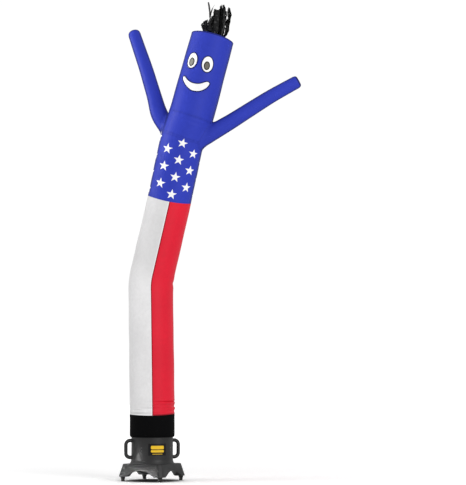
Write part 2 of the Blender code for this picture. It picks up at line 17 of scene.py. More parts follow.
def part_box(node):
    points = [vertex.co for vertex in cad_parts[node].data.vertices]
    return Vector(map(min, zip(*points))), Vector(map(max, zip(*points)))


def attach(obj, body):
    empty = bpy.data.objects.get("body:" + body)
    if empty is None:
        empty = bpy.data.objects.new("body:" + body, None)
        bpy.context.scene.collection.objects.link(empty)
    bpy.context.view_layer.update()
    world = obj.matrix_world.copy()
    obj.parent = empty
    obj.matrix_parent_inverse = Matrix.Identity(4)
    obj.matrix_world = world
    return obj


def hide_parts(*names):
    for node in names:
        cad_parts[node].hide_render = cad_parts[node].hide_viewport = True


bl_info = {
    "name": "Air dancer",
    "version": (1, 0, 0),
    "blender": (4, 5, 0),
    "location": "3D View > Sidebar > Air dancer",
    "description": "Dresses the solids of an inflatable air dancer and its blower",
    "category": "Object",
}

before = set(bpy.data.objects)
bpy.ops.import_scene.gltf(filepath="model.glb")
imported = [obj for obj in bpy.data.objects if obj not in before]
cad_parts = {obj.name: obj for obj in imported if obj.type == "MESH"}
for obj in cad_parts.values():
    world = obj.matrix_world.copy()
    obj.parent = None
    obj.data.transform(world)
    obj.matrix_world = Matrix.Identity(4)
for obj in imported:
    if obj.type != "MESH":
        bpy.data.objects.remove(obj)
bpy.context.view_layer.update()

# ---- the dancer's frame ----
SWAY_TURN = math.radians(-15)
DRUM_LOW, DRUM_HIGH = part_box("housing")
BLOWER_AXIS = Matrix.Translation(((DRUM_LOW.x + DRUM_HIGH.x) / 2, (DRUM_LOW.y + DRUM_HIGH.y) / 2, 0))
DANCER = BLOWER_AXIS @ Matrix.Rotation(SWAY_TURN, 4, "Z")
GAP = 0.0003  # between pieces that are sewn together
MERGE = 0.000005  # points nearer to each other than this are one
TAU = math.tau

# ---- the trunk's tube ----
SPINE = (
    # place, right, back, up, radius of the tube
    ("foot", 0.0000, 0.000, 0.2940, 0.1525),
    ("collar", 0.0000, 0.000, 0.4425, 0.1525),
    ("bend", -0.0155, -0.005, 1.3555, 0.1525),
    ("flag", 0.1096, -0.080, 1.9062, 0.1495),
    ("armpit", 0.1908, -0.134, 2.2987, 0.1500),
    ("neck", 0.2531, -0.165, 2.4647, 0.1550),
    ("rim", 0.3997, -0.165, 3.0146, 0.1480),
)
LOWER_RADIUS = SPINE[0][4]
RIM_RADIUS = SPINE[-1][4]
FLAT_RADIUS = 0.15  # the trunk's, where its cloth is laid flat
ROUNDING = 0.11  # length over which a tube's corners bend
STEP = 0.004  # between places along a tube where it is measured
YOKE_UP = 0.036  # from the armpits up to the seam under the plain torso
SEAMS = {
    # how far up it lies all round, at the front and back, and at the right
    "collar": (0.0060, -0.0070, 0.0),
    "flag": (0.0025, -0.0123, 0.0045),
}
CREASES = (
    # place, further up, angle round, half length up, half width round, height (troughs are below 0)
    ("bend", 0.000, 118, 0.022, 42, -0.0050),
    ("bend", 0.048, 108, 0.024, 38, 0.0025),
    ("bend", -0.048, 108, 0.024, 38, 0.0025),
    ("collar", 0.026, 72, 0.009, 34, -0.0045),
    ("collar", 0.047, 100, 0.009, 26, 0.0040),
    ("collar", 0.066, 66, 0.010, 30, -0.0035),
    ("collar", 0.030, -52, 0.012, 30, 0.0040),
    ("collar", 0.012, -30, 0.010, 26, -0.0035),
    # smaller ones that the solids leave out
    ("collar", 0.091, 52, 0.0036, 42, -0.0080),
    ("collar", 0.099, 50, 0.0060, 40, 0.0018),
    ("collar", 0.081, 60, 0.0060, 40, 0.0034),
    ("collar", 0.068, 34, 0.0040, 18, -0.0030),
    ("collar", 0.056, 80, 0.0050, 22, -0.0070),
    ("collar", 0.046, 50, 0.0048, 24, -0.0040),
    ("collar", 0.014, 40, 0.0050, 16, -0.0026),
    ("collar", 0.035, -46, 0.0044, 26, -0.0060),
    ("collar", 0.047, -12, 0.0044, 16, -0.0060),
    ("collar", 0.022, -34, 0.0100, 44, 0.0040),
    ("collar", 0.046, -80, 0.0036, 14, -0.0048),
    ("collar", 0.052, 176, 0.011, 30, -0.0020),
    ("collar", 0.022, 150, 0.009, 24, 0.0016),
    ("bend", -0.018, 150, 0.010, 22, -0.0012),
    ("bend", 0.020, 84, 0.009, 16, 0.0012),
    ("armpit", 0.020, 58, 0.016, 16, -0.0014),
    ("armpit", 0.006, -62, 0.014, 18, -0.0014),
    ("neck", -0.032, -4, 0.0045, 44, -0.0022),
    ("neck", -0.021, -8, 0.0060, 36, 0.0012),
    ("neck", -0.046, 14, 0.0070, 30, 0.0010),
    ("neck", 0.030, 66, 0.014, 18, -0.0014),
    ("neck", -0.040, 48, 0.016, 14, 0.0012),
)
CUFF = (
    # up from its foot, radius inside
    (0.0000, 0.14154),
    (0.0050, 0.14550),
    (0.0110, 0.14880),
    (0.0300, 0.15000),
    (0.1150, 0.14950),
    (0.1485, 0.15000),
)
WEBBING = 0.0025  # thickness of the cuff's cloth
CUFF_DRAWN = 0.045  # how far up it is gathered where it is drawn in round the neck
CUFF_GATHER = 0.0022  # height of those gathers
CUFF_SEAM = 0.012  # up from its foot
STARS_UP = 0.003  # from the armpits up to the middle of the top row of stars

# ---- arms ----
ARM_ROOT_RADIUS = 0.0555
ARM_TIP_RADIUS = 0.0430
SLEEVE_RADIUS = 0.05  # where its cloth is laid flat
ARMS = {
    "left_sleeve": (
        (0.1700, -0.150, 2.262),
        (0.0900, -0.098, 2.410),
        (0.0365, -0.060, 2.516),
        (-0.0530, 0.020, 2.829),
        (-0.1450, 0.122, 3.120),
    ),
    "right_sleeve": (
        (0.2100, -0.168, 2.238),
        (0.3600, -0.197, 2.330),
        (0.5140, -0.225, 2.421),
        (0.7860, -0.270, 2.592),
        (0.9820, -0.300, 2.699),
    ),
}
HEELS = {
    # how far along an arm's root swells, half length, side in degrees, rise
    "left_sleeve": (0.270, 0.100, -80, 0.0120),
    "right_sleeve": (0.260, 0.080, -60, 0.0030),
}
JOIN = 0.030  # how wide the cloth rounds off between an arm and the trunk
LAP = 0.0075  # how far a sleeve's cloth runs on under the trunk's at its seam
SINK = 0.6  # share of its depth under a sleeve that the trunk's cloth gives way
HIDDEN = 0.014  # trunk cloth that lies deeper than this inside an arm is left out
SLEEVE_HEM = (0.021, 0.006)  # on from where its end rounds off, and half its width
ARM_END = (
    # back from the tip, share of the radius
    (0.0270, 1.00),
    (0.0205, 0.985),
    (0.0145, 0.955),
    (0.0095, 0.91),
    (0.0055, 0.85),
    (0.0028, 0.77),
    (0.0010, 0.66),
    (0.0003, 0.52),
    (0.0000, 0.36),
    (0.0000, 0.18),
    (0.0000, 0.01),
)

# ---- crown, hair and face ----
CROWN = (
    # radius, up from the rim
    (0.0004, 0.0120),
    (0.0500, 0.0122),
    (0.0800, 0.0118),
    (0.1150, 0.0088),
    (0.1360, 0.0046),
    (0.1480, 0.0),
)
HAIR_PAD = (
    # radius, up
    (0.0004, 0.0),
    (0.0745, 0.0),
    (0.0760, 0.0015),
    (0.0760, 0.0045),
    (0.0740, 0.0060),
    (0.0004, 0.0066),
)
PAD_SIDES = 48
HAIR_FOOT = 0.006  # from the crown's middle up to the strips' feet
HAIR_LEAN = Vector((0.13, 0.02, 1.0)).normalized()
LOCKS = (
    # length, and how far out at a quarter, at half, at three quarters and at the tip;
    # from the right round by the back, the left and the front
    (0.226, 0.100, 0.099, 0.104, 0.084),
    (0.146, 0.084, 0.088, 0.086, 0.080),
    (0.176, 0.080, 0.084, 0.078, 0.070),
    (0.188, 0.068, 0.070, 0.066, 0.056),
    (0.190, 0.080, 0.084, 0.078, 0.066),
    (0.176, 0.064, 0.066, 0.060, 0.054),
    (0.150, 0.080, 0.084, 0.074, 0.062),
    (0.146, 0.064, 0.066, 0.056, 0.046),
    (0.122, 0.080, 0.082, 0.070, 0.056),
    (0.116, 0.064, 0.066, 0.056, 0.046),
    (0.096, 0.076, 0.082, 0.076, 0.062),
    (0.100, 0.066, 0.072, 0.066, 0.054),
    (0.072, 0.072, 0.082, 0.090, 0.076),
    (0.217, 0.056, 0.037, 0.049, 0.068),
    (0.088, 0.074, 0.084, 0.088, 0.072),
    (0.206, 0.058, 0.051, 0.054, 0.030),
    (0.108, 0.078, 0.082, 0.072, 0.060),
    (0.178, 0.064, 0.062, 0.058, 0.050),
    (0.170, 0.080, 0.084, 0.078, 0.070),
    (0.176, 0.064, 0.065, 0.060, 0.052),
    (0.219, 0.070, 0.066, 0.060, 0.050),
    (0.222, 0.080, 0.082, 0.074, 0.062),
    (0.105, 0.098, 0.104, 0.098, 0.090),
    (0.135, 0.082, 0.081, 0.102, 0.096),
)
THIN_LOCKS = (13, 15)  # these stand apart as single strips
LOCK_MARKS = (0.0, 0.08, 0.25, 0.50, 0.75, 1.0)
OUTER_STRIPS = 3  # in each lock; the others lie further in
OUTER = {"root": (0.058, 0.072), "length": (0.97, 1.0), "reach": (0.94, 1.0)}
INNER = {"root": (0.025, 0.060), "length": (0.78, 1.0), "reach": (0.55, 0.92)}
LOOSE = {"bearing": 0.13, "out": 0.0034, "swing": 0.022, "sway": 0.035}
THIN = {"bearing": 0.02, "out": 0.0010, "swing": 0.003, "sway": 0.005}
STRIP_ROWS = 15
STRIP_WIDE = (0.0060, 0.0095)  # half its width
THIN_WIDE = 0.0098
STRIP_THICK = 0.0005  # half its thickness
FACE_TURN = -14.9
FACE = (
    # piece, node, down from the rim, degrees across, width, height, layer
    ("left_eye", "eye_left", 0.2110, -21.5, 0.075, 0.108, 0),
    ("right_eye", "eye_right", 0.2155, 21.5, 0.075, 0.108, 0),
    ("left_pupil", "pupil_left", 0.2215, -21.6, 0.039, 0.058, 1),
    ("right_pupil", "pupil_right", 0.2265, 20.8, 0.039, 0.058, 1),
)
EYE_TILT = math.radians(6)
SMILE_DOWN = 0.3400
SMILE_ACROSS = 1.8
SMILE = (
    # across and up along its top, across and up along its foot
    (-0.0900, 0.0150, -0.0900, 0.0150),
    (-0.0815, 0.0105, -0.0935, 0.0050),
    (-0.0710, 0.0038, -0.0890, -0.0090),
    (-0.0555, -0.0091, -0.0750, -0.0268),
    (-0.0330, -0.0206, -0.0480, -0.0522),
    (-0.0030, -0.0253, -0.0100, -0.0738),
    (0.0273, -0.0212, 0.0330, -0.0722),
    (0.0485, -0.0108, 0.0610, -0.0568),
    (0.0645, 0.0014, 0.0800, -0.0360),
    (0.0765, 0.0082, 0.0900, -0.0150),
    (0.0850, 0.0092, 0.0930, -0.0020),
    (0.0908, 0.0060, 0.0908, 0.0060),
)
PATCH_EDGE = 0.0006  # thickness of a patch at its edge
PLUMP = 0.0007  # how much thicker it is further in
FACE_LIFT = 0.0009  # of the lower patches' undersides
LAYER_LIFT = 0.0014
THREAD_PITCH = 0.0011
EDGING = ((-1, 0.0), (-0.8, 0.6), (-0.3, 1.0), (0.3, 1.0), (0.8, 0.6), (1, 0.0))
EDGING_SIZE = {
    # half its width, and how far out of the patch's edge its middle lies
    "pupil_thread": (0.0036, -0.0026),
    "navy_thread": (0.0038, 0.0022),
}
EDGING_HIGH = 0.0013

# ---- blower ----
DRUM_RADIUS = 0.1410
DRUM_BORE = 0.1360
BEADS = (0.3055, 0.3480)
BEAD_RADIUS = 0.1465
BEAD_HALF = 0.005  # half its height
NECK_RADIUS = 0.1425
LIP_TOP = 0.3620
FLARE_RADIUS = 0.1500
FLARE_HIGH = 0.030
FLARE_STEP = 0.004  # height of the flare's upright edge
DECK_TOP = 0.1165
DECK = 0.006
SKIRT_FOOT = 0.0310
SKIRT_TOP_HALF = 0.1510
SKIRT_FOOT_HALF = 0.1720
SKIRT_WALL = 0.005
CORNER_CUT = 0.0275
LEG_REACH = 0.154
ARCH_HALF = 0.114
ARCH_TOP = 0.0735
GRILLE_RADIUS = 0.123
SLOT = 0.014
SLOT_PITCH = 0.026
SLOTS = 9
FEET = {"front": -90, "right": 0, "back": 90, "left": 180}
FOOT_REACH = 0.2030
HANDLE_TUBE = 0.0122
HANDLE_SIDES = 28
HANDLE_FLARE = (1.28, 1.16, 1.06, 1.0)  # how much thicker it is from the drum on
HANDLE_OUT = 0.1838
HANDLE_LOW = 0.1590
HANDLE_HIGH = 0.2720
HANDLE_CORNER = 0.0290
LABEL_HALF_ANGLE = math.radians(25.3)
LABEL_FOOT = 0.1750
LABEL_TOP = 0.2530
LABEL_THICK = 0.001
LABEL_BARS = (
    # middle up, half height, half width, as shares of the plate
    (0.68, 0.150, 0.36),
    (0.36, 0.100, 0.36),
    (0.12, 0.022, 0.28),
)
GLAND_HEIGHT = 0.1650
GLAND_RIBS = 5
RUBBER_FOOT = (
    # radius, up
    (0.0001, 0.0),
    (0.0100, 0.0),
    (0.0112, 0.0006),
    (0.0116, 0.0016),
    (0.0124, 0.0100),
    (0.0130, 0.0176),
    (0.0134, 0.0184),
    (0.0146, 0.0192),
    (0.0150, 0.0198),
)
SCREW = (
    # radius, up from the housing
    (0.0001, 0.0012),
    (0.0010, 0.0013),
    (0.0013, 0.0022),
    (0.0024, 0.0023),
    (0.0033, 0.0016),
    (0.0036, 0.0005),
    (0.0036, -0.0010),
    (0.0001, -0.0010),
)
SCREW_HEIGHTS = (0.205, 0.225)
SCREW_BEARINGS = (-135, -45, 45, 135)

DUST = (0.16, 0.155, 0.145)
STEEL = ((0.05, 0.05, 0.052), (0.22, 0.22, 0.225))  # blackened, and worn bright

# ---- stage ----
LAMPS = (
    # light, place, target, width and height, spread in degrees
    ("key", (-4.4, -0.6, 3.7), (0.1, 0.0, 2.9), (2.2, 3.4), 180),
    ("rim", (-4.2, 0.3, 3.6), (0.0, 0.0, 2.85), (1.6, 1.4), 44),
    ("fill", (2.9, -4.5, 2.6), (0.2, 0.0, 1.6), (2.4, 3.6), 180),
    ("low", (-2.6, -0.5, 0.06), (0.0, 0.0, 0.04), (1.1, 0.08), 10),
)
FLOOR_HALF = 40.0
CAMERA = (0, -10.5, 0.64)
CAMERA_TARGET = (0.5496, 0, 1.6237)
SENSOR = 36.0
FOCUS = 1532.0 / 485  # focal length, as a share of the sensor

# ---- small waves: height, waves per turn or metre, phase ----
ROUND_WAVES = ((0.50, 31, 0.4), (0.40, 47, 2.1), (0.30, 71, 4.4), (0.25, 19, 1.0))
ALONG_WAVES = ((0.50, 210, 0.7), (0.40, 327, 2.9), (0.35, 151, 4.0))
SLOW_WAVES = ((0.6, 2, 0.5), (0.5, 3, 2.2), (0.3, 5, 4.1))
CUFF_WAVES = ((0.55, 64, 0.3), (0.30, 41, 1.9), (0.25, 97, 3.3))
CROWN_WAVES = ((0.5, 30, 0.2), (0.4, 45, 1.5), (0.3, 67, 4.0))
SLEEVE_WAVES = ((0.5, 2, 0.4), (0.4, 3, 1.8))
SLEEVE_ROOT_WAVES = ((0.5, 9, 0.7), (0.4, 14, 2.0), (0.35, 23, 4.0))
SLEEVE_HEM_WAVES = ((0.6, 17, 0.4), (0.4, 29, 2.0))


# ---------------------------------------------------------------- settings


def number(name, description, default, **facts):
    return FloatProperty(name=name, description=description, default=default, min=0, **facts)


def length(name, description, default):
    return number(name, description, default, unit="LENGTH", precision=5)


def power(name, description, default):
    return number(name, description, default, unit="POWER")


def colour(name, description, default):
    return FloatVectorProperty(
        name=name, description=description, default=default, min=0, max=1, size=3, subtype="COLOR"
    )


class DancerSettings(bpy.types.PropertyGroup):
    grid: length("Mesh square", "Side of the squares that the cloth meshes are made of", 0.006)
    cloth: length("Nylon", "Thickness of the nylon", 0.0015)
    pucker: length("Pucker", "How far the cloth gathers along its seams", 0.0009)
    sway: length("Billow", "Height of the slow waves in the cloth", 0.0008)
    stitch: length("Stitch", "Length of one stitch", 0.0035)
    threads: number("Threads", "Threads per metre of weave", 900.0)
    star_radius: length("Star", "From a star's middle to its tips", 0.0362)
    star_pitch: length("Star pitch", "From star to star along the tube", 0.1187)
    blue: colour("Blue", "The upper tube, head and arms", (0.030, 0.048, 0.430))
    red: colour("Red", "The right half of the lower tube", (0.700, 0.012, 0.033))
    white: colour("White", "The left half of the lower tube", (0.780, 0.774, 0.778))
    print: colour("Print white", "The stars and the face", (0.940, 0.935, 0.930))
    left_pupil: colour("Left pupil", "The pupil of the left eye", (0.270, 0.270, 0.235))
    right_pupil: colour("Right pupil", "The pupil of the right eye", (0.150, 0.140, 0.115))
    rim: colour("Pupil edging", "The thread round the pupils", (0.020, 0.018, 0.012))
    navy: colour("Edging", "The thread round the face's patches and the hems", (0.012, 0.016, 0.110))
    black: colour("Black", "The cuff", (0.0030, 0.0030, 0.0033))
    hair: colour("Hair", "The hair's satin", (0.0032, 0.0032, 0.0035))
    strips: IntProperty(name="Strips", description="Strips in each lock of hair", default=7, min=1)


class BlowerSettings(bpy.types.PropertyGroup):
    plastic: colour("Plastic", "The moulded housing, base and grips", (0.0135, 0.0135, 0.0139))
    rubber: colour("Rubber", "The feet", (0.009, 0.009, 0.009))
    film: colour("Label", "The label's ground", (0.0022, 0.0020, 0.0026))
    bars: colour("Bars", "The plain bars on the label", (0.830, 0.520, 0.020))
    pebble: length("Pebble", "Width of the moulded grain's pebbles", 0.0022)
    edge: length("Edge", "Radius of the base's moulded edges", 0.0045)


class StageSettings(bpy.types.PropertyGroup):
    floor: colour("Floor", "The floor's paint", (0.80, 0.80, 0.80))
    near: number("Near gain", "How much brighter the floor shows by the object", 1.48)
    far: number("Far gain", "How much brighter the floor shows far away", 2.3)
    sky: number("Room light", "Light from all round", 0.66)
    key: power("Key", "Power of the high light on the left", 66.0)
    rim: power("Rim", "Power of the light on the upper left edges", 8.0)
    fill: power("Fill", "Power of the wide light on the right", 126.0)
    low: power("Low", "Power of the low light on the blower's left", 0.8)


# ---------------------------------------------------------------- spines and cloth meshes


def unit(vectors):
    return vectors / np.linalg.norm(vectors, axis=-1, keepdims=True)


class Spine:
    """A line through a table of points, with its corners rounded and a radius along it, for whole arrays."""

    def __init__(self, points, radii):
        self.points = np.array(points, float)
        self.radii = np.array(radii, float)
        runs = np.linalg.norm(np.diff(self.points, axis=0), axis=1)
        self.marks = np.concatenate(([0.0], np.cumsum(runs)))

    @property
    def length(self):
        return self.marks[-1]

    def corner_line(self, s):
        i = np.clip(np.searchsorted(self.marks, s, "left") - 1, 0, len(self.marks) - 2)
        part = ((s - self.marks[i]) / (self.marks[i + 1] - self.marks[i]))[..., None]
        return self.points[i] * (1 - part) + self.points[i + 1] * part

    def centre(self, s):
        s = np.asarray(s, float)
        return sum(self.corner_line(s + ROUNDING * k / 8) for k in range(-4, 5)) / 9

    def axes(self, s):
        """The directions right, back and along at distances s."""
        s = np.asarray(s, float)
        along = unit(self.centre(s + STEP) - self.centre(s - STEP))
        right = unit(np.array((1.0, 0.0, 0.0)) - along * along[..., :1])
        return right, np.cross(along, right), along

    def radius(self, s):
        return np.interp(s, self.marks, self.radii)

    def outward(self, s, angle):
        """Directions straight out of the tube at distances s along and angles round."""
        right, back, _ = self.axes(s)
        return right * np.sin(angle)[..., None] - back * np.cos(angle)[..., None]

    def at(self, s, angle, radius):
        """Points at distances s along, angles round and radii out, in the dancer's frame."""
        s, angle, radius = np.broadcast_arrays(s, angle, radius)
        return self.centre(s) + self.outward(s, angle) * radius[..., None]


TRUNK = Spine([row[1:4] for row in SPINE], [row[4] for row in SPINE])
PLACE = {row[0]: mark for row, mark in zip(SPINE, TRUNK.marks)}
PLACE["yoke"] = PLACE["armpit"] + YOKE_UP


def heel(name, s, angle):
    """How far an arm swells where it is sewn on."""
    place, half, side, rise = HEELS[name]
    facing = np.maximum(0, np.cos(angle - math.radians(side)))
    return rise * np.exp(-(((s - place) / half) ** 2)) * facing**2


def arm_spine(name):
    points = np.array(ARMS[name])
    marks = Spine(points, np.zeros(len(points))).marks
    taper = np.clip((marks - marks[1]) / (marks[-1] - marks[1]), 0, 1)
    return Spine(points, ARM_ROOT_RADIUS + (ARM_TIP_RADIUS - ARM_ROOT_RADIUS) * taper)


def depth(points, spine, first, last, swell=None):
    """Distances of points from a tube's surface, below 0 inside it, near the stretch from first to last."""
    s = np.arange(first, last, STEP)
    centre, radius = spine.centre(s), spine.radius(s)
    right, back, _ = spine.axes(s)
    flat = points.reshape(-1, 3)
    found = np.empty(len(flat))
    for part in range(0, len(flat), 4000):
        off = flat[part : part + 4000, None] - centre
        reach = np.linalg.norm(off, axis=-1)
        near = np.argmin(reach - radius, axis=1)
        row = np.arange(len(near))
        out = off[row, near]
        size = radius[near]
        if swell is not None:
            turn = np.arctan2((out * right[near]).sum(1), -(out * back[near]).sum(1))
            size = size + swell(s[near], turn)
        found[part : part + 4000] = reach[row, near] - size
    return found.reshape(points.shape[:-1])


def arm_depth(name, points):
    spine = arm_spine(name)
    return depth(points, spine, 0.0, spine.length * 0.5, lambda s, turn: heel(name, s, turn))


def trunk_depth(points):
    return depth(points, TRUNK, PLACE["flag"], PLACE["rim"] - 0.15)


def joined(a, b):
    """The distance from the rounded join of two surfaces at distances a and b from each."""
    near = np.maximum(JOIN - np.abs(a - b), 0) / JOIN
    return np.minimum(a, b) - near * near * JOIN / 4


def drawn_up(start, out, depth_of):
    """How far cloth rises along out from each start to the rounded join with another surface."""
    rise = np.zeros(len(start))
    for _ in range(6):
        rise = np.clip(rise - joined(rise, depth_of(start + out * rise[:, None])), 0, JOIN)
    return rise


def arm_joints(points, outward):
    """How far the trunk's cloth is drawn up to the arms, and which of its points they hide."""
    lift, hidden = np.zeros(points.shape[:-1]), np.zeros(points.shape[:-1], bool)
    for name in ARMS:
        gap = arm_depth(name, points)
        near = gap < JOIN * 1.5
        start, out = points[near], outward[near]
        rise = drawn_up(start, out, lambda spots: arm_depth(name, spots))
        under = np.maximum(0, JOIN / 4 - arm_depth(name, start + out * JOIN / 4))
        sunk = SINK * (np.minimum(under, 0.003) + np.minimum(under, 0.01))
        lift[near] += np.minimum(rise, JOIN / 4) - sunk
        hidden |= gap < -HIDDEN
    return lift, hidden


def slope(depth_of, points):
    """The direction in which a distance grows, at each of the points."""
    rises = [depth_of(points + shift) - depth_of(points - shift) for shift in 0.0005 * np.eye(3)]
    return unit(np.stack(rises, -1))


def to_world(points, turn=DANCER):
    matrix = np.array(turn)
    return points @ matrix[:3, :3].T + matrix[:3, 3]


def waver(x, waves):
    """A sum of sines: (height, waves per turn or metre, phase)."""
    return sum(height * np.sin(rate * x + phase) for height, rate, phase in waves)


def seam(name, angle):
    """How far along the trunk a seam lies at each angle round it."""
    up, front, right = SEAMS.get(name, (0, 0, 0))
    return PLACE[name] + up + front * np.cos(angle) ** 2 + right * np.sin(angle)


def creases(s, angle):
    """How far the folds raise the trunk's cloth."""
    height = np.zeros(np.broadcast(s, angle).shape)
    degrees = np.degrees(angle)
    for place, up, around, half_up, half_round, rise in CREASES:
        along = (s - PLACE[place] - up) / half_up
        across = ((degrees - around + 180) % 360 - 180) / half_round
        height += rise * np.exp(-along * along - across * across)
    return height


def seam_pucker(s, angle, seams):
    """Small gathers across the seams that run round a tube at distances seams."""
    near = sum(np.exp(-np.abs(s - seam) / 0.016) for seam in seams)
    return near * waver(angle, ROUND_WAVES)


def side_pucker(s, angle, radius):
    """Small gathers across the seams down a tube's front and back."""
    off = np.minimum(np.abs((angle + np.pi) % TAU - np.pi), np.abs(angle % TAU - np.pi)) * radius
    return np.exp(-off / 0.014) * waver(s, ALONG_WAVES)


def billow(s, angle):
    """Slow, shallow waves of cloth that is held up by air."""
    return waver(angle + s * 1.7, SLOW_WAVES) * np.sin(s * 9.0 + 0.6) + 0.6 * np.sin(s * 23 + angle * 2)


def quad_faces(rows, columns, closed, keep=None):
    """Quads of a grid of vertices, as an array of four vertex numbers and the grid place of each."""
    across = columns if closed else columns - 1
    i, j = np.meshgrid(np.arange(rows - 1), np.arange(across), indexing="ij")
    i, j = i.ravel(), j.ravel()
    if keep is not None:
        kept = keep.ravel()
        i, j = i[kept], j[kept]
    n = (j + 1) % columns
    faces = np.stack((i * columns + j, i * columns + n, (i + 1) * columns + n, (i + 1) * columns + j), 1)
    places = np.stack((i, j, i, j + 1, i + 1, j + 1, i + 1, j), 1).reshape(-1, 4, 2)
    return faces, places


def sheet_mesh(name, outer, inner, closed, panel=None, keep=None, edge_angle=40, meets=False):
    """One closed mesh from a sheet's outer and inner grid of points.

    panel holds the flat place of each point (a closed grid has one more column there), kept in a UV map in
    metres. meets says that the points of the last row lie on each other, so that it has no edge there."""
    rows, columns = outer.shape[:2]
    count = rows * columns
    faces, places = quad_faces(rows, columns, closed, keep)
    seen = {}
    for face, place in zip(faces, places):
        for k in range(4):
            seen[(face[k], face[(k + 1) % 4])] = place[k]
    rim, rim_places = [], []
    for (a, b), place in seen.items():
        if (b, a) not in seen and not (meets and min(a, b) >= count - columns):
            rim.append((b, a, a + count, b + count))
            rim_places.append((place,) * 4)
    every = np.concatenate((faces, faces[:, ::-1] + count, np.array(rim, int).reshape(-1, 4)))
    mesh = bpy.data.meshes.new(name)
    points = np.concatenate((outer.reshape(-1, 3), inner.reshape(-1, 3)))
    mesh.from_pydata(points.tolist(), [], every.tolist())
    if panel is not None:
        place = np.concatenate((places, places[:, ::-1], np.array(rim_places, int).reshape(-1, 4, 2)))
        flat = panel[place[..., 0], place[..., 1]].reshape(-1, 2)
        layer = mesh.uv_layers.new(name="panel")
        layer.uv.foreach_set("vector", flat.astype(np.float32).ravel())
    return tidy_mesh(mesh, edge_angle)


def tidy_mesh(mesh, edge_angle):
    """Drop loose points, close up doubled ones and shade smooth between sharp edges."""
    bm = bmesh.new()
    bm.from_mesh(mesh)
    bmesh.ops.delete(bm, geom=[v for v in bm.verts if not v.link_faces], context="VERTS")
    bmesh.ops.remove_doubles(bm, verts=bm.verts, dist=MERGE)
    bmesh.ops.dissolve_degenerate(bm, edges=bm.edges, dist=MERGE)
    bm.to_mesh(mesh)
    bm.free()
    return smoothed(mesh, edge_angle)


def smoothed(mesh, edge_angle):
    """Shade a mesh smooth between its sharp edges."""
    mesh.shade_smooth()
    mesh.set_sharp_from_angle(angle=math.radians(edge_angle))
    return mesh


def turned_out(mesh, merge=0.0):
    """Turn all of a closed mesh's faces outwards, after closing up doubled points."""
    bm = bmesh.new()
    bm.from_mesh(mesh)
    if merge:
        bmesh.ops.remove_doubles(bm, verts=bm.verts, dist=merge)
    bmesh.ops.recalc_face_normals(bm, faces=bm.faces)
    bm.to_mesh(mesh)
    bm.free()
    return mesh


def tube_faces(rings, around, closed=False):
    """Quads between the rings of a tube; closed joins the last ring to the first."""
    faces = []
    for i in range(rings if closed else rings - 1):
        a, b = i * around, (i + 1) % rings * around
        for j in range(around):
            n = (j + 1) % around
            faces.append((a + j, a + n, b + n, b + j))
    return faces


def piece(name, mesh, material, slot, *nodes):
    """Put a finished mesh in the scene as a piece that stands for some of the solids."""
    thing = bpy.data.objects.new(name, mesh)
    bpy.context.scene.collection.objects.link(thing)
    mesh.materials.clear()
    mesh.materials.append(material)
    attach(thing, "root")
    if nodes:
        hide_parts(*nodes)
    return thing


def steps(low, high, pitch):
    return np.linspace(low, high, max(2, round((high - low) / pitch) + 1))


def ring_of(radius, pitch):
    count = round(TAU * radius / pitch)
    return TAU * np.arange(count) / count


def flat_places(s, angle, radius):
    """Places on the flat panel, in metres, with one more column where the tube closes."""
    around = np.append(angle, TAU) if len(angle) and angle[0] == 0 else angle
    u, v = np.meshgrid(around * radius, s - s[0])
    return np.stack((u, v), -1)


def between(low, high, angle, pitch, close=0.0):
    """Grids of distances along the trunk from one seam to another, and of angles round it.

    The rows lie closer together in a stretch of length close above the lower seam."""
    first, last = seam(low, angle) + GAP / 2, seam(high, angle) - GAP / 2
    run = PLACE[high] - PLACE[low]
    near = np.linspace(0, close, round(close / pitch * 2.6) + 1)[:-1]
    rest = np.linspace(close, run, round((run - close) / pitch) + 1)
    part = (np.concatenate((near, rest)) / run)[:, None]
    return first + (last - first) * part, np.broadcast_to(angle, (len(part), len(angle)))


def trunk_height(s, angle, ends, settings):
    """How far the trunk's cloth stands off its tube, with gathers at the seams at its ends."""
    height = creases(s, angle) + settings.sway * billow(s, angle)
    return height + settings.pucker * seam_pucker(s, angle, ends)


def trunk_sheet(name, s, angle, radius, thickness, closed, panel, keep=None):
    skins = [to_world(TRUNK.at(s, angle, size)) for size in (radius, radius - thickness)]
    return sheet_mesh(name, *skins, closed, panel, keep)


def trunk_tube(name, low, high, settings):
    """A whole tube of the trunk's cloth between two places, drawn up round the arms' roots."""
    angle = ring_of(FLAT_RADIUS, settings.grid)
    s, a = between(low, high, angle, settings.grid)
    lift, hidden = arm_joints(TRUNK.at(s, a, TRUNK.radius(s)), TRUNK.outward(s, a))
    radius = TRUNK.radius(s) + trunk_height(s, a, (PLACE[low], PLACE[high]), settings) + lift
    across = np.roll(hidden, -1, 1)
    keep = ~(hidden & across)[:-1] | ~(hidden & across)[1:]
    panel = flat_places(s[:, 0], angle, FLAT_RADIUS)
    return trunk_sheet(name, s, a, radius, settings.cloth, True, panel, keep)


# ---------------------------------------------------------------- shader nodes


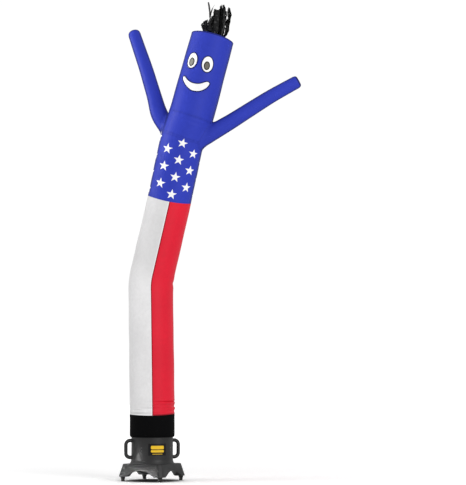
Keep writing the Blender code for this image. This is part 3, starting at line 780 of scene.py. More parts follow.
class Nodes:
    """Adds nodes to a tree; a value that is a socket is linked, any other is set."""

    def __init__(self, tree):
        self.tree = tree
        self.made = 0

    def put(self, socket, value):
        if isinstance(value, bpy.types.NodeSocket):
            self.tree.links.new(value, socket)
        elif hasattr(value, "__len__") and socket.type == "RGBA":
            socket.default_value = (*value, 1)[:4]
        else:
            socket.default_value = value

    def add(self, kind, values=(), **facts):
        node = self.tree.nodes.new("ShaderNode" + kind)
        node.location = (self.made % 8 * 190, -(self.made // 8) * 260)
        self.made += 1
        for fact, value in facts.items():
            setattr(node, fact, value)
        for socket, value in dict(values).items():
            self.put(node.inputs[socket], value)
        return node

    def math(self, operation, *values):
        return self.add("Math", dict(enumerate(values)), operation=operation).outputs[0]

    def times(self, a, b):
        return self.math("MULTIPLY", a, b)

    def plus(self, a, b):
        return self.math("ADD", a, b)

    def less(self, a, b):
        return self.math("SUBTRACT", a, b)

    def apart(self, a, b):
        return self.math("ABSOLUTE", self.less(a, b))

    def reach(self, x, y):
        return self.math("SQRT", self.plus(self.times(x, x), self.times(y, y)))

    def mix(self, mask, a, b):
        return self.add("Mix", {0: mask, 6: a, 7: b}, data_type="RGBA").outputs[2]

    def span(self, value, low, high, to_low=0.0, to_high=1.0, smooth=True):
        kind = "SMOOTHSTEP" if smooth else "LINEAR"
        values = dict(enumerate((value, low, high, to_low, to_high)))
        return self.add("MapRange", values, interpolation_type=kind).outputs[0]

    def noise(self, vector, scale, detail=2.0, roughness=0.5):
        values = {"Vector": vector, "Scale": scale, "Detail": detail, "Roughness": roughness}
        return self.add("TexNoise", values).outputs[0]

    def split(self, vector):
        return self.add("SeparateXYZ", {0: vector}).outputs

    def panel(self):
        """Flat places on the piece's own panel, in metres."""
        return self.add("UVMap", uv_map="panel").outputs[0]

    def spot(self):
        return self.add("TexCoord").outputs["Object"]

    def use(self, group, values):
        node = self.add("Group")
        node.node_tree = group
        for socket, value in values.items():
            self.put(node.inputs[socket], value)
        return node.outputs

    def tone(self, scale):
        return self.use(tone_group(), {"Place": self.spot(), "Scale": scale})

    def bump(self, height, strength, distance):
        return self.add("Bump", {"Height": height, "Strength": strength, "Distance": distance}).outputs[0]


def node_group(name, inputs, outputs, fill):
    """A node group made once: inputs are name: default, where a tuple is a vector, and outputs are values."""
    if name in bpy.data.node_groups:
        return bpy.data.node_groups[name]
    tree = bpy.data.node_groups.new(name, "ShaderNodeTree")
    for label, default in inputs.items():
        kind = "NodeSocketVector" if isinstance(default, tuple) else "NodeSocketFloat"
        tree.interface.new_socket(label, in_out="INPUT", socket_type=kind).default_value = default
    for label in outputs:
        tree.interface.new_socket(label, in_out="OUTPUT", socket_type="NodeSocketFloat")
    source = tree.nodes.new("NodeGroupInput")
    drain = tree.nodes.new("NodeGroupOutput")
    fill(Nodes(tree), source.outputs, drain.inputs)
    return tree


ORIGIN = (0.0, 0.0, 0.0)


def weave_group():
    """Over-and-under threads of a plain weave, from flat places in metres."""

    def fill(nodes, given, drain):
        place = nodes.split(given["Place"])
        turns = nodes.times(given["Threads"], math.pi)
        warp, weft = [nodes.math("SINE", nodes.times(place[way], turns)) for way in (0, 1)]
        nodes.put(drain["Height"], nodes.math("MULTIPLY_ADD", nodes.times(warp, weft), 0.5, 0.5))

    return node_group("plain weave", {"Place": ORIGIN, "Threads": 900.0}, ("Height",), fill)


def tone_group():
    """Slow, cloudy differences in dye and light wear, from 0 to 1."""

    def fill(nodes, given, drain):
        broad = nodes.noise(given["Place"], given["Scale"], 3.0, 0.55)
        fine = nodes.noise(given["Place"], nodes.times(given["Scale"], 14.0), 2.0, 0.6)
        both = nodes.math("MULTIPLY_ADD", fine, 0.35, nodes.times(broad, 0.65))
        nodes.put(drain["Tone"], nodes.span(both, 0.3, 0.7))
        nodes.put(drain["Fine"], fine)

    return node_group("cloth tone", {"Place": ORIGIN, "Scale": 4.0}, ("Tone", "Fine"), fill)


def stitch_group():
    """A row of stitches beside a seam: Off is the distance from the seam and Along the way along it."""

    def fill(nodes, given, drain):
        beside = nodes.apart(given["Off"], given["Inset"])
        row = nodes.span(beside, 0.0004, 0.0009, 1.0, 0.0)
        part = nodes.math("FRACT", nodes.math("DIVIDE", given["Along"], given["Length"]))
        dash = nodes.span(nodes.apart(part, 0.5), 0.26, 0.36, 1.0, 0.0)
        groove = nodes.span(given["Off"], 0.0, 0.0022, 1.0, 0.0)
        nodes.put(drain["Stitch"], nodes.times(row, dash))
        nodes.put(drain["Groove"], nodes.math("MAXIMUM", groove, nodes.times(row, 0.45)))
        # a band beside the seam where the nylon paints shade, a highlight where its share is above 1
        nodes.put(drain["Fold"], nodes.span(given["Off"], 0.0040, 0.0105, 1.0, 0.0))

    inputs = {"Off": 0.0, "Along": 0.0, "Inset": 0.007, "Length": 0.0035}
    return node_group("seam stitching", inputs, ("Stitch", "Groove", "Fold"), fill)


def star_group():
    """Five-pointed stars in staggered columns: 1 inside a star, from flat places in metres.

    Each half of the tube has one column down its middle and two more at Second and Third to either side,
    whose stars are a little wider."""
    point = math.radians(36)  # half of a star's fifth
    inner = 0.40  # a star's inner corners, as a share of its radius
    tip, notch = Vector((1, 0)), Vector((inner * math.cos(point), inner * math.sin(point)))
    edge = notch - tip
    normal = Vector((edge.y, -edge.x)).normalized()

    def column(nodes, given, across):
        """How far a place is from the middle of its column, and whether that is past the first and second."""
        half = nodes.times(given["Round"], 0.25)
        side = nodes.plus(nodes.less(across, given["Turn"]), half)
        side = nodes.less(nodes.math("FLOORED_MODULO", side, nodes.times(half, 2.0)), half)
        side = nodes.math("ABSOLUTE", side)
        second = nodes.math("GREATER_THAN", side, nodes.times(given["Second"], 0.5))
        midway = nodes.times(nodes.plus(given["Second"], given["Third"]), 0.5)
        third = nodes.math("GREATER_THAN", side, midway)
        step = nodes.times(third, nodes.less(given["Third"], given["Second"]))
        x = nodes.less(side, nodes.math("MULTIPLY_ADD", second, given["Second"], step))
        return nodes.times(x, nodes.math("MULTIPLY_ADD", second, -0.12, 1.0)), second, third

    def fill(nodes, given, drain):
        place = nodes.split(given["Place"])
        x, second, third = column(nodes, given, place[0])
        stagger = nodes.times(nodes.less(second, third), 0.5)
        rise = nodes.less(place[1], given["Start"])
        row = nodes.less(nodes.math("DIVIDE", rise, given["Pitch"]), stagger)
        number = nodes.math("ROUND", row)
        y = nodes.times(nodes.less(row, number), given["Pitch"])
        below = nodes.math("LESS_THAN", nodes.math("MULTIPLY_ADD", stagger, 2.0, number), 0.5)
        shown = nodes.times(below, nodes.math("GREATER_THAN", number, -3.5))
        turn = nodes.plus(nodes.math("ARCTAN2", x, y), point)
        fold = nodes.apart(nodes.math("FLOORED_MODULO", turn, 2 * point), point)
        along = nodes.times(nodes.math("COSINE", fold), normal.x)
        slope = nodes.math("MULTIPLY_ADD", nodes.math("SINE", fold), normal.y, along)
        rim = nodes.times(given["Radius"], normal.dot(tip))
        past = nodes.less(nodes.times(nodes.reach(x, y), slope), rim)
        nodes.put(drain["Star"], nodes.times(shown, nodes.span(past, -0.0006, 0.0006, 1.0, 0.0)))

    inputs = {"Place": ORIGIN, "Round": 0.942, "Second": 0.096, "Third": 0.2355, "Turn": 0.0044}
    inputs |= {"Pitch": 0.12, "Start": 0.0, "Radius": 0.035}
    return node_group("printed stars", inputs, ("Star",), fill)


def grain_group():
    """The pebbled grain and faint scuffs of moulded plastic."""

    def fill(nodes, given, drain):
        cell = nodes.add("TexVoronoi", {"Vector": given["Place"], "Scale": given["Scale"]}, feature="F1")
        small = nodes.noise(given["Place"], nodes.times(given["Scale"], 1.6), 3.0, 0.6)
        scuff = nodes.noise(given["Place"], nodes.times(given["Scale"], 0.05), 5.0, 0.7)
        height = nodes.math("MULTIPLY_ADD", small, 0.5, nodes.times(cell.outputs["Distance"], 0.5))
        nodes.put(drain["Height"], height)
        nodes.put(drain["Scuff"], nodes.span(scuff, 0.52, 0.72))
        nodes.put(drain["Cloud"], scuff)

    inputs = {"Place": ORIGIN, "Scale": 450.0}
    return node_group("moulded grain", inputs, ("Height", "Scuff", "Cloud"), fill)


# ---------------------------------------------------------------- materials


def new_material(name, roughness, gloss=0.5):
    """The adder for a new material's nodes, which keeps the material and its shader's inputs."""
    material = bpy.data.materials.new(name)
    material.use_nodes = True
    nodes = Nodes(material.node_tree)
    nodes.material = material
    nodes.shader = material.node_tree.nodes["Principled BSDF"].inputs
    nodes.shader["Roughness"].default_value = roughness
    nodes.shader["Specular IOR Level"].default_value = gloss
    return nodes


def finish(nodes, colour, rough=None, relief=None):
    """Wire a material's colour, its roughness and its relief: a height, how strong it is and how deep."""
    nodes.put(nodes.shader["Base Color"], colour)
    if rough is not None:
        nodes.put(nodes.shader["Roughness"], rough)
    if relief is not None:
        nodes.put(nodes.shader["Normal"], nodes.bump(*relief))
    return nodes.material


def darker(tint, amount):
    return tuple(channel * amount for channel in tint)


def nylon(
    name, tint, settings, round_seams=(), side_seams=(), hems=(), stars=None, roughness=0.46, gloss=0.14,
    fold=(0.12, 0.6), painted_edge_shade=None, dulled=0.0,
):
    """Woven nylon with slow differences in tone, stitching beside its seams and dark bound hems, with shade
    and highlights painted into its colour.

    fold is how much shade is painted in a band beside each seam, and the share of its tint that the band is
    taken to; a share above 1 paints a highlight there instead.
    The last two arguments say from where to where shade is painted as the cloth curves out of sight, and how
    much shade is painted over its upper part.
    Each hem is its place along the panel and half its width."""
    nodes = new_material(name, roughness, gloss)
    place, tone = nodes.panel(), nodes.tone(3.2)
    flat = nodes.split(place)
    colour = nodes.mix(tone["Tone"], darker(tint, 0.93), darker(tint, 1.05))
    # painted shade: the colour darkens over the panel's upper part
    if dulled:
        colour = nodes.mix(nodes.span(flat[1], 0.80, 1.10, 0.0, dulled), colour, darker(tint, 0.4))
    # painted shade: the colour darkens where the surface turns away from the view
    if painted_edge_shade:
        facing = nodes.add("LayerWeight", {"Blend": 0.5}).outputs["Facing"]
        colour = nodes.mix(nodes.span(facing, *painted_edge_shade, 0.0, 0.9), colour, darker(tint, 0.3))
    if stars is not None:
        sizes = {"Start": stars, "Pitch": settings.star_pitch, "Radius": settings.star_radius}
        mask = nodes.use(star_group(), {"Place": place, **sizes})["Star"]
        ink = nodes.mix(tone["Tone"], darker(settings.print, 0.95), settings.print)
        colour = nodes.mix(mask, colour, ink)
    weave = nodes.use(weave_group(), {"Place": place, "Threads": settings.threads})["Height"]
    height = nodes.math("MULTIPLY_ADD", tone["Fine"], 0.5, weave)
    lines = [(nodes.apart(flat[1], at), flat[0]) for at in round_seams]
    lines += [(nodes.apart(flat[0], at), flat[1]) for at in side_seams]
    for off, along in lines:
        sewn = nodes.use(stitch_group(), {"Off": off, "Along": along, "Length": settings.stitch})
        # the first mark paints shade in a band beside each seam, a highlight where fold's share is above 1;
        # the groove and stitches are the seam's own
        for mark, amount, share_of in (("Fold", *fold), ("Groove", 0.35, 0.45), ("Stitch", 0.45, 0.75)):
            colour = nodes.mix(nodes.times(sewn[mark], amount), colour, darker(tint, share_of))
        height = nodes.less(height, nodes.times(sewn["Groove"], 2.5))
    for at, half in hems:
        bound = nodes.span(nodes.apart(flat[1], at), half - 0.0006, half + 0.0006, 0.9, 0.0)
        colour = nodes.mix(bound, colour, settings.navy)
    rough = nodes.span(tone["Fine"], 0.2, 0.8, roughness - 0.05, roughness + 0.07, False)
    return finish(nodes, colour, rough, (height, 0.35, 0.0003))


def blue_nylon(name, settings, **facts):
    """The blue cloth of the upper tube, the head and the arms, with shade painted where it turns away from
    the view.
    """
    return nylon(name, settings.blue, settings, **{"gloss": 0.08, "painted_edge_shade": (0.52, 0.86), **facts})


def thread(name, tint):
    """Dense satin stitch: fine threads side by side across an edging, with painted highlight on their crests
    and painted shade between them.
    """
    nodes = new_material(name, 0.5, 0.1)
    ridge = nodes.math("SINE", nodes.times(nodes.split(nodes.panel())[0], TAU / THREAD_PITCH))
    # painted highlight on each thread's crest and painted shade between threads, over random tone
    lit = nodes.math("MULTIPLY_ADD", ridge, 0.25, nodes.times(nodes.tone(40.0)["Tone"], 0.6))
    colour = nodes.mix(lit, darker(tint, 0.8), darker(tint, 1.35))
    return finish(nodes, colour, relief=(ridge, 0.5, 0.0002))


def satin(name, tint):
    """Black satin strips with fine streaks along them, lighter in colour as painted sheen."""
    nodes = new_material(name, 0.34, 0.22)
    stretch = nodes.add("Mapping", {"Vector": nodes.panel(), "Scale": (900.0, 30.0, 1.0)}).outputs[0]
    streak = nodes.noise(stretch, 1.0, 3.0, 0.6)
    # painted sheen: lighter streaks along the strips, over random tone
    lit = nodes.times(streak, nodes.tone(30.0)["Tone"])
    colour = nodes.mix(lit, darker(tint, 0.6), darker(tint, 2.4))
    return finish(nodes, colour, nodes.span(streak, 0.2, 0.8, 0.26, 0.46, False), (streak, 0.4, 0.0004))


def moulded(name, tint, pebble, roughness=0.44, grain=0.55, dust=0.0, gloss=0.4):
    """Moulded plastic or rubber with a pebbled grain and faint scuffs, dusty towards the floor."""
    nodes = new_material(name, roughness, gloss)
    spot = nodes.spot()
    grains = nodes.use(grain_group(), {"Place": spot, "Scale": 1 / pebble})
    cloud = grains["Cloud"]
    colour = nodes.mix(cloud, darker(tint, 0.82), darker(tint, 1.2))
    colour = nodes.mix(nodes.times(grains["Scuff"], 0.22), colour, darker(tint, 1.9))
    if dust:
        low = nodes.times(nodes.span(nodes.split(spot)[2], 0.0, 0.05, 1.0, 0.0), nodes.times(cloud, dust))
        colour = nodes.mix(low, colour, DUST)
    rough = nodes.span(cloud, 0.3, 0.7, roughness - 0.06, roughness + 0.10, False)
    return finish(nodes, colour, rough, (grains["Height"], grain, 0.0004))


def metal(name):
    """Blackened steel screws with bright worn spots."""
    nodes = new_material(name, 0.38)
    tone = nodes.tone(220.0)
    nodes.put(nodes.shader["Metallic"], nodes.span(tone["Tone"], 0.0, 1.0, 0.6, 0.95, False))
    colour = nodes.mix(tone["Tone"], *STEEL)
    return finish(nodes, colour, nodes.span(tone["Fine"], 0.2, 0.8, 0.28, 0.5, False))


def label_film(settings, width, height):
    """Near-black film with plain bars, on a plate of that width and height."""
    nodes = new_material("label_film", 0.30, 0.25)
    place, shine = nodes.split(nodes.panel()), nodes.tone(60.0)
    colour = nodes.mix(shine["Tone"], darker(settings.film, 0.85), darker(settings.film, 1.3))
    ink = nodes.mix(shine["Fine"], darker(settings.bars, 0.9), darker(settings.bars, 1.08))
    for middle, half_height, half_width in LABEL_BARS:
        corner = min(half_height * height, 0.006)
        x = nodes.less(nodes.apart(place[0], width / 2), half_width * width - corner)
        y = nodes.less(nodes.apart(place[1], middle * height), half_height * height - corner)
        off = nodes.reach(nodes.math("MAXIMUM", x, 0.0), nodes.math("MAXIMUM", y, 0.0))
        colour = nodes.mix(nodes.span(off, corner - 0.0003, corner + 0.0003, 1.0, 0.0), colour, ink)
    rough = nodes.span(shine["Fine"], 0.2, 0.8, 0.24, 0.42, False)
    return finish(nodes, colour, rough, (shine["Fine"], 0.12, 0.0003))


def floor_paint(settings):
    """Matte paint that shows brighter than it lights, with a shadow painted dark into it close under the
    blower.
    """
    nodes = new_material("floor_paint", 0.8, 0.0)
    spot = nodes.spot()
    lit = nodes.mix(nodes.noise(spot, 9.0, 4.0, 0.6), darker(settings.floor, 0.98), settings.floor)
    ends = {0: spot, 1: BLOWER_AXIS.translation}
    away = nodes.add("VectorMath", ends, operation="DISTANCE").outputs["Value"]
    # painted shadow: the floor's colour is taken down to 0.2 close under the blower
    shade, near, far = [darker(settings.floor, gain) for gain in (0.2, settings.near, settings.far)]
    raised = nodes.mix(nodes.span(away, 0.13, 0.26), shade, near)
    raised = nodes.mix(nodes.span(away, 0.6, 7.0), raised, far)
    seen = nodes.add("LightPath").outputs["Is Camera Ray"]
    return finish(nodes, nodes.mix(seen, lit, raised))


# ---------------------------------------------------------------- the stage


def aimed(data, place, target):
    """Put a lamp or camera at a place in the dancer's frame, aimed at another."""
    thing = bpy.data.objects.new(data.name, data)
    place, target = DANCER @ Vector(place), DANCER @ Vector(target)
    thing.location = place
    thing.rotation_euler = (target - place).to_track_quat("-Z", "Y").to_euler()
    bpy.context.scene.collection.objects.link(thing)
    return thing


class AIRDANCER_OT_stage(bpy.types.Operator):
    """Make the floor, the soft lights and the camera"""

    bl_idname = "airdancer.stage"
    bl_label = "Stage"

    def execute(self, context):
        settings = context.scene.airdancer_stage
        context.scene.view_settings.view_transform = "Standard"
        self.floor(settings)
        context.scene.world = self.room(settings)
        for name, place, target, size, spread in LAMPS:
            data = bpy.data.lights.new(name + "_light", "AREA")
            data.shape = "RECTANGLE"
            data.size, data.size_y = size
            data.spread = math.radians(spread)
            data.energy = getattr(settings, name)
            aimed(data, place, target)
        data = bpy.data.cameras.new("camera")
        data.sensor_width = SENSOR
        data.lens = FOCUS * SENSOR
        data.clip_end = 200
        context.scene.camera = aimed(data, CAMERA, CAMERA_TARGET)
        return {"FINISHED"}

    def floor(self, settings):
        mesh = bpy.data.meshes.new("floor")
        corners = [(x * FLOOR_HALF, y * FLOOR_HALF, 0) for x, y in ((-1, -1), (1, -1), (1, 1), (-1, 1))]
        mesh.from_pydata(corners, [], [(0, 1, 2, 3)])
        mesh.materials.append(floor_paint(settings))
        floor = bpy.data.objects.new("floor", mesh)
        bpy.context.scene.collection.objects.link(floor)

    def room(self, settings):
        """A white room all round that lights the object less than it shows."""
        world = bpy.data.worlds.new("studio")
        world.use_nodes = True
        nodes = Nodes(world.node_tree)
        ground = world.node_tree.nodes["Background"].inputs
        seen = nodes.add("LightPath").outputs["Is Camera Ray"]
        nodes.put(ground["Color"], (1.0, 1.0, 1.0))
        nodes.put(ground["Strength"], nodes.span(seen, 0.0, 1.0, settings.sky, 1.02, False))
        return world


# ---------------------------------------------------------------- the cloth


class AIRDANCER_OT_cuff(bpy.types.Operator):
    """Make the black cuff that grips the blower's neck"""

    bl_idname = "airdancer.cuff"
    bl_label = "Cuff"

    def execute(self, context):
        settings = context.scene.airdancer_cloth
        ups, insides = np.array(CUFF).T
        up = np.concatenate((np.linspace(0, 0.03, 16), steps(0.036, ups[-1], settings.grid)))
        angle = ring_of(FLAT_RADIUS, settings.grid / 2)
        s = up[:, None] * (seam("collar", angle) - GAP / 2) / ups[-1]
        a = angle[None, :]
        drawn = np.clip(1 - s / CUFF_DRAWN, 0, 1) ** 1.5
        gathers = 0.5 + 0.5 * waver(a, CUFF_WAVES)
        height = drawn * gathers * CUFF_GATHER * np.clip(s / 0.004, 0, 1)
        height = height + settings.sway * 0.6 * billow(s + 2, a) * np.clip(s / 0.05, 0, 1)
        height = height + settings.pucker * seam_pucker(s, a, (PLACE["collar"],))
        radius = np.interp(up, ups, insides)[:, None] + WEBBING + height
        panel = flat_places(up, angle, FLAT_RADIUS)
        mesh = trunk_sheet("cuff_band", s, a, radius, WEBBING, True, panel)
        seams = (CUFF_SEAM, up[-1])
        black = nylon("black_cuff", settings.black, settings, round_seams=seams, roughness=0.7, gloss=0.03)
        band = piece("cuff_band", mesh, black, "black_webbing", "cuff")
        return {"FINISHED"}


class AIRDANCER_OT_lower_tube(bpy.types.Operator):
    """Make the white and red half panels of the lower tube"""

    bl_idname = "airdancer.lower_tube"
    bl_label = "Lower tube"

    def half(self, name, first, settings):
        """The mesh of the half panel whose first edge is at angle first."""
        edge = GAP / 2 / LOWER_RADIUS
        columns = round(np.pi * LOWER_RADIUS / settings.grid) + 1
        angle = np.linspace(first + edge, first + np.pi - edge, columns)
        s, a = between("collar", "flag", angle, settings.grid * 0.9, 0.11)
        height = trunk_height(s, a, (PLACE["collar"], PLACE["flag"]), settings)
        height = height + settings.pucker * 0.8 * side_pucker(s, a, LOWER_RADIUS)
        panel = flat_places(s[:, 0], angle - first + 1e-9, LOWER_RADIUS)
        return trunk_sheet(name, s, a, TRUNK.radius(s) + height, settings.cloth, False, panel)

    def execute(self, context):
        settings = context.scene.airdancer_cloth
        seams = {
            "round_seams": (0.0, PLACE["flag"] - PLACE["collar"]),
            "side_seams": (0.0, np.pi * LOWER_RADIUS),
        }
        # fold paints shade beside the red panel's seams and a highlight beside the white panel's
        halves = (
            ("white_panel", "body_white", "white_nylon", -np.pi, settings.white, (0.80, 1.13), 0.23),
            ("red_panel", "body_red", "red_nylon", 0.0, settings.red, (0.85, 0.35), 0.0),
        )
        # the last number of each half says how much shade is painted over its upper part
        for name, node, slot, first, tint, fold, dulled in halves:
            mesh = self.half(name, first, settings)
            cloth = nylon(name + "_nylon", tint, settings, fold=fold, dulled=dulled, **seams)
            panel = piece(name, mesh, cloth, slot, node)
        return {"FINISHED"}


class AIRDANCER_OT_chest(bpy.types.Operator):
    """Make the star band and the plain torso over it"""

    bl_idname = "airdancer.chest"
    bl_label = "Star band and torso"

    def execute(self, context):
        settings = context.scene.airdancer_cloth
        mesh = trunk_tube("star_band_panel", "flag", "yoke", settings)
        run = PLACE["yoke"] - PLACE["flag"] - GAP
        stars = PLACE["armpit"] + STARS_UP - PLACE["flag"]
        cloth = blue_nylon("starred_nylon", settings, round_seams=(0.0, run), stars=stars)
        band = piece("star_band_panel", mesh, cloth, "blue_nylon", "star_band")
        mesh = trunk_tube("torso_panel", "yoke", "neck", settings)
        run = PLACE["neck"] - PLACE["yoke"] - GAP
        cloth = blue_nylon("torso_nylon", settings, round_seams=(0.0, run))
        torso = piece("torso_panel", mesh, cloth, "blue_nylon", "torso")
        return {"FINISHED"}


class AIRDANCER_OT_arms(bpy.types.Operator):
    """Make the two tapered sleeves, each sewn round its hole in the chest"""

    bl_idname = "airdancer.arms"
    bl_label = "Arms"

    def root_line(self, name, spine, angle):
        """How far along its spine each line of an arm leaves the seam on the trunk."""
        pitch = 0.002
        s = np.arange(0.0, spine.length * 0.5, pitch)[:, None]
        radius = spine.radius(s) + heel(name, s, angle) + JOIN / 4
        off = trunk_depth(spine.at(s, angle, radius)) - JOIN / 4
        last = len(s) - 1 - np.argmax((off < 0)[::-1], axis=0)
        column = np.arange(len(angle))
        part = off[last, column] / (off[last, column] - off[last + 1, column])
        return s[last, 0] + part * pitch

    def allowance(self, name, line, cloth):
        """The strip of a sleeve that runs on from its seam line under the trunk's cloth."""
        trunk, arm = slope(trunk_depth, line), slope(lambda points: arm_depth(name, points), line)
        out, across = unit(trunk + arm), unit(arm - trunk)
        outer = np.stack([line + across * width for width in (LAP, LAP / 2)])
        return outer, outer - out * cloth

    def folds(self, s, angle, off, end, settings):
        """Gathers at a sleeve's seam and hem, and slow waves between."""
        height = settings.pucker * 1.6 * np.exp(-off / 0.030) * waver(angle, SLEEVE_ROOT_WAVES)
        height = height + settings.sway * 0.8 * waver(angle + s * 2.3, SLEEVE_WAVES) * np.sin(s * 17)
        height = height + settings.pucker * np.exp((s - end) / 0.020) * waver(angle, SLEEVE_HEM_WAVES)
        return height * np.clip(off / 0.006, 0, 1)

    def rounded_end(self, spine, angle, height, cloth):
        """How far along the rows of a sleeve's end lie, and their outer and inner points."""
        back, narrow = np.array(ARM_END[1:]).T[..., None]
        s = np.broadcast_to(spine.length - back, (len(back), len(angle)))
        wide = ARM_TIP_RADIUS * narrow + height * narrow**2
        inner = spine.at(s - cloth, angle, np.maximum(wide - cloth, 0.0002))
        return s, (spine.at(s, angle, wide), inner)

    def sleeve(self, name, spine, settings):
        """A sleeve's mesh, and how far it runs from its seam to where its end rounds off."""
        angle = ring_of(SLEEVE_RADIUS, settings.grid * 0.75)
        start = self.root_line(name, spine, angle)
        end = spine.length - ARM_END[0][0]
        part = np.linspace(0, 1, round((end - start.min()) / settings.grid) + 1)[:, None]
        s = start + (end - start) * part
        a = np.broadcast_to(angle, s.shape)
        off = s - start
        height = self.folds(s, a, off, end, settings)
        bare = spine.radius(s) + heel(name, s, a)
        rise, near = np.zeros(s.shape), off < 4 * JOIN
        rise[near] = drawn_up(spine.at(s, a, bare)[near], spine.outward(s, a)[near], trunk_depth)
        radius = bare + height + rise
        body = [spine.at(s, a, size) for size in (radius, radius - settings.cloth)]
        under = self.allowance(name, body[0][0], settings.cloth)
        tips, tip = self.rounded_end(spine, angle, height[-1], settings.cloth)
        skins = [to_world(np.concatenate(rows)) for rows in zip(under, body, tip)]
        run = end - start.mean()
        before = np.broadcast_to(np.array([[-LAP], [-LAP / 2]]), (2, len(angle)))
        v = np.concatenate((before, off / (end - start) * run, run + (tips - end)))
        v = np.concatenate((v, v[:, :1]), 1)
        u = np.broadcast_to(np.append(angle, TAU) * SLEEVE_RADIUS, v.shape)
        return sheet_mesh(name, *skins, True, np.stack((u, v), -1)), run

    def execute(self, context):
        settings = context.scene.airdancer_cloth
        for name, node in (("left_sleeve", "arm_left"), ("right_sleeve", "arm_right")):
            mesh, run = self.sleeve(name, arm_spine(name), settings)
            hem = (run + SLEEVE_HEM[0], SLEEVE_HEM[1])
            # the sleeves' painted edge shade starts further in than the trunk's
            looks = {"round_seams": (0.0,), "hems": (hem,), "painted_edge_shade": (0.30, 0.75)}
            cloth = blue_nylon(name + "_nylon", settings, **looks)
            sleeve = piece(name, mesh, cloth, "blue_nylon", node)
        return {"FINISHED"}


def rim_frame():
    """The middle of the head's rim and the directions right, back and along there."""
    s = PLACE["rim"]
    return (TRUNK.centre(s), *TRUNK.axes(s))


def spokes(angle, right, back):
    """Directions at angles round from right to back."""
    return np.outer(np.cos(angle), right) + np.outer(np.sin(angle), back)


class AIRDANCER_OT_head(bpy.types.Operator):
    """Make the head's tube and the crown that closes it"""

    bl_idname = "airdancer.head"
    bl_label = "Head"

    def execute(self, context):
        settings = context.scene.airdancer_cloth
        mesh = trunk_tube("head_panel", "neck", "rim", settings)
        run = PLACE["rim"] - PLACE["neck"] - GAP
        cloth = blue_nylon("head_nylon", settings, round_seams=(0.0,), hems=((run, 0.0055),))
        head = piece("head_panel", mesh, cloth, "blue_nylon", "head")
        cloth = blue_nylon("crown_nylon", settings, round_seams=(0.0,))
        crown = piece("crown_panel", self.crown(settings), cloth, "blue_nylon", "crown")
        return {"FINISHED"}

    def crown(self, settings):
        radius = np.concatenate((np.linspace(RIM_RADIUS, 0.130, 8), np.linspace(0.122, CROWN[0][0], 22)))
        angle = ring_of(RIM_RADIUS, settings.grid)
        rise = np.interp(radius, *np.array(CROWN).T)
        rise = np.convolve(np.pad(rise, 1, "edge"), (0.25, 0.5, 0.25), "valid")
        rise[0] = 0.0
        edge = np.exp((radius - RIM_RADIUS) / 0.022) * np.minimum(1, (RIM_RADIUS - radius) / 0.004)
        lift = rise[:, None] + settings.pucker * 1.3 * edge[:, None] * waver(angle, CROWN_WAVES)
        middle, right, back, along = rim_frame()
        flat = middle + spokes(angle, right, back) * radius[:, None, None]
        high = GAP / 2 + settings.cloth + lift
        skins = [to_world(flat + along * up[..., None]) for up in (high, high - settings.cloth)]
        panel = np.stack(np.meshgrid(np.append(angle, TAU) * 0.1, RIM_RADIUS - radius), -1)
        return sheet_mesh("crown_panel", *skins, True, panel)


def oblong(u, v, wide, high):
    return (u, v), (u + wide, v), (u + wide, v + high), (u, v + high)


class Bundle:
    """Closed tubes gathered for one mesh: points, faces and the flat place of each face's corners."""

    def __init__(self):
        self.points, self.faces, self.flat = [], [], []

    def add(self, rings, quads, end):
        """Add a tube with the flat places of its quads and of each end."""
        first, around = len(self.points), len(rings[0])
        last = first + around * (len(rings) - 1)
        self.points += [point for ring in rings for point in ring]
        self.faces += [tuple(first + n for n in face) for face in tube_faces(len(rings), around)]
        self.faces += [tuple(range(first, first + around))[::-1], tuple(range(last, last + around))]
        self.flat += [place for quad in quads for place in quad] + [*end, *end]

    def mesh(self, name):
        mesh = bpy.data.meshes.new(name)
        mesh.from_pydata(to_world(np.array(self.points)).tolist(), [], self.faces)
        layer = mesh.uv_layers.new(name="panel")
        layer.uv.foreach_set("vector", np.array(self.flat, np.float32).ravel())
        return turned_out(mesh)


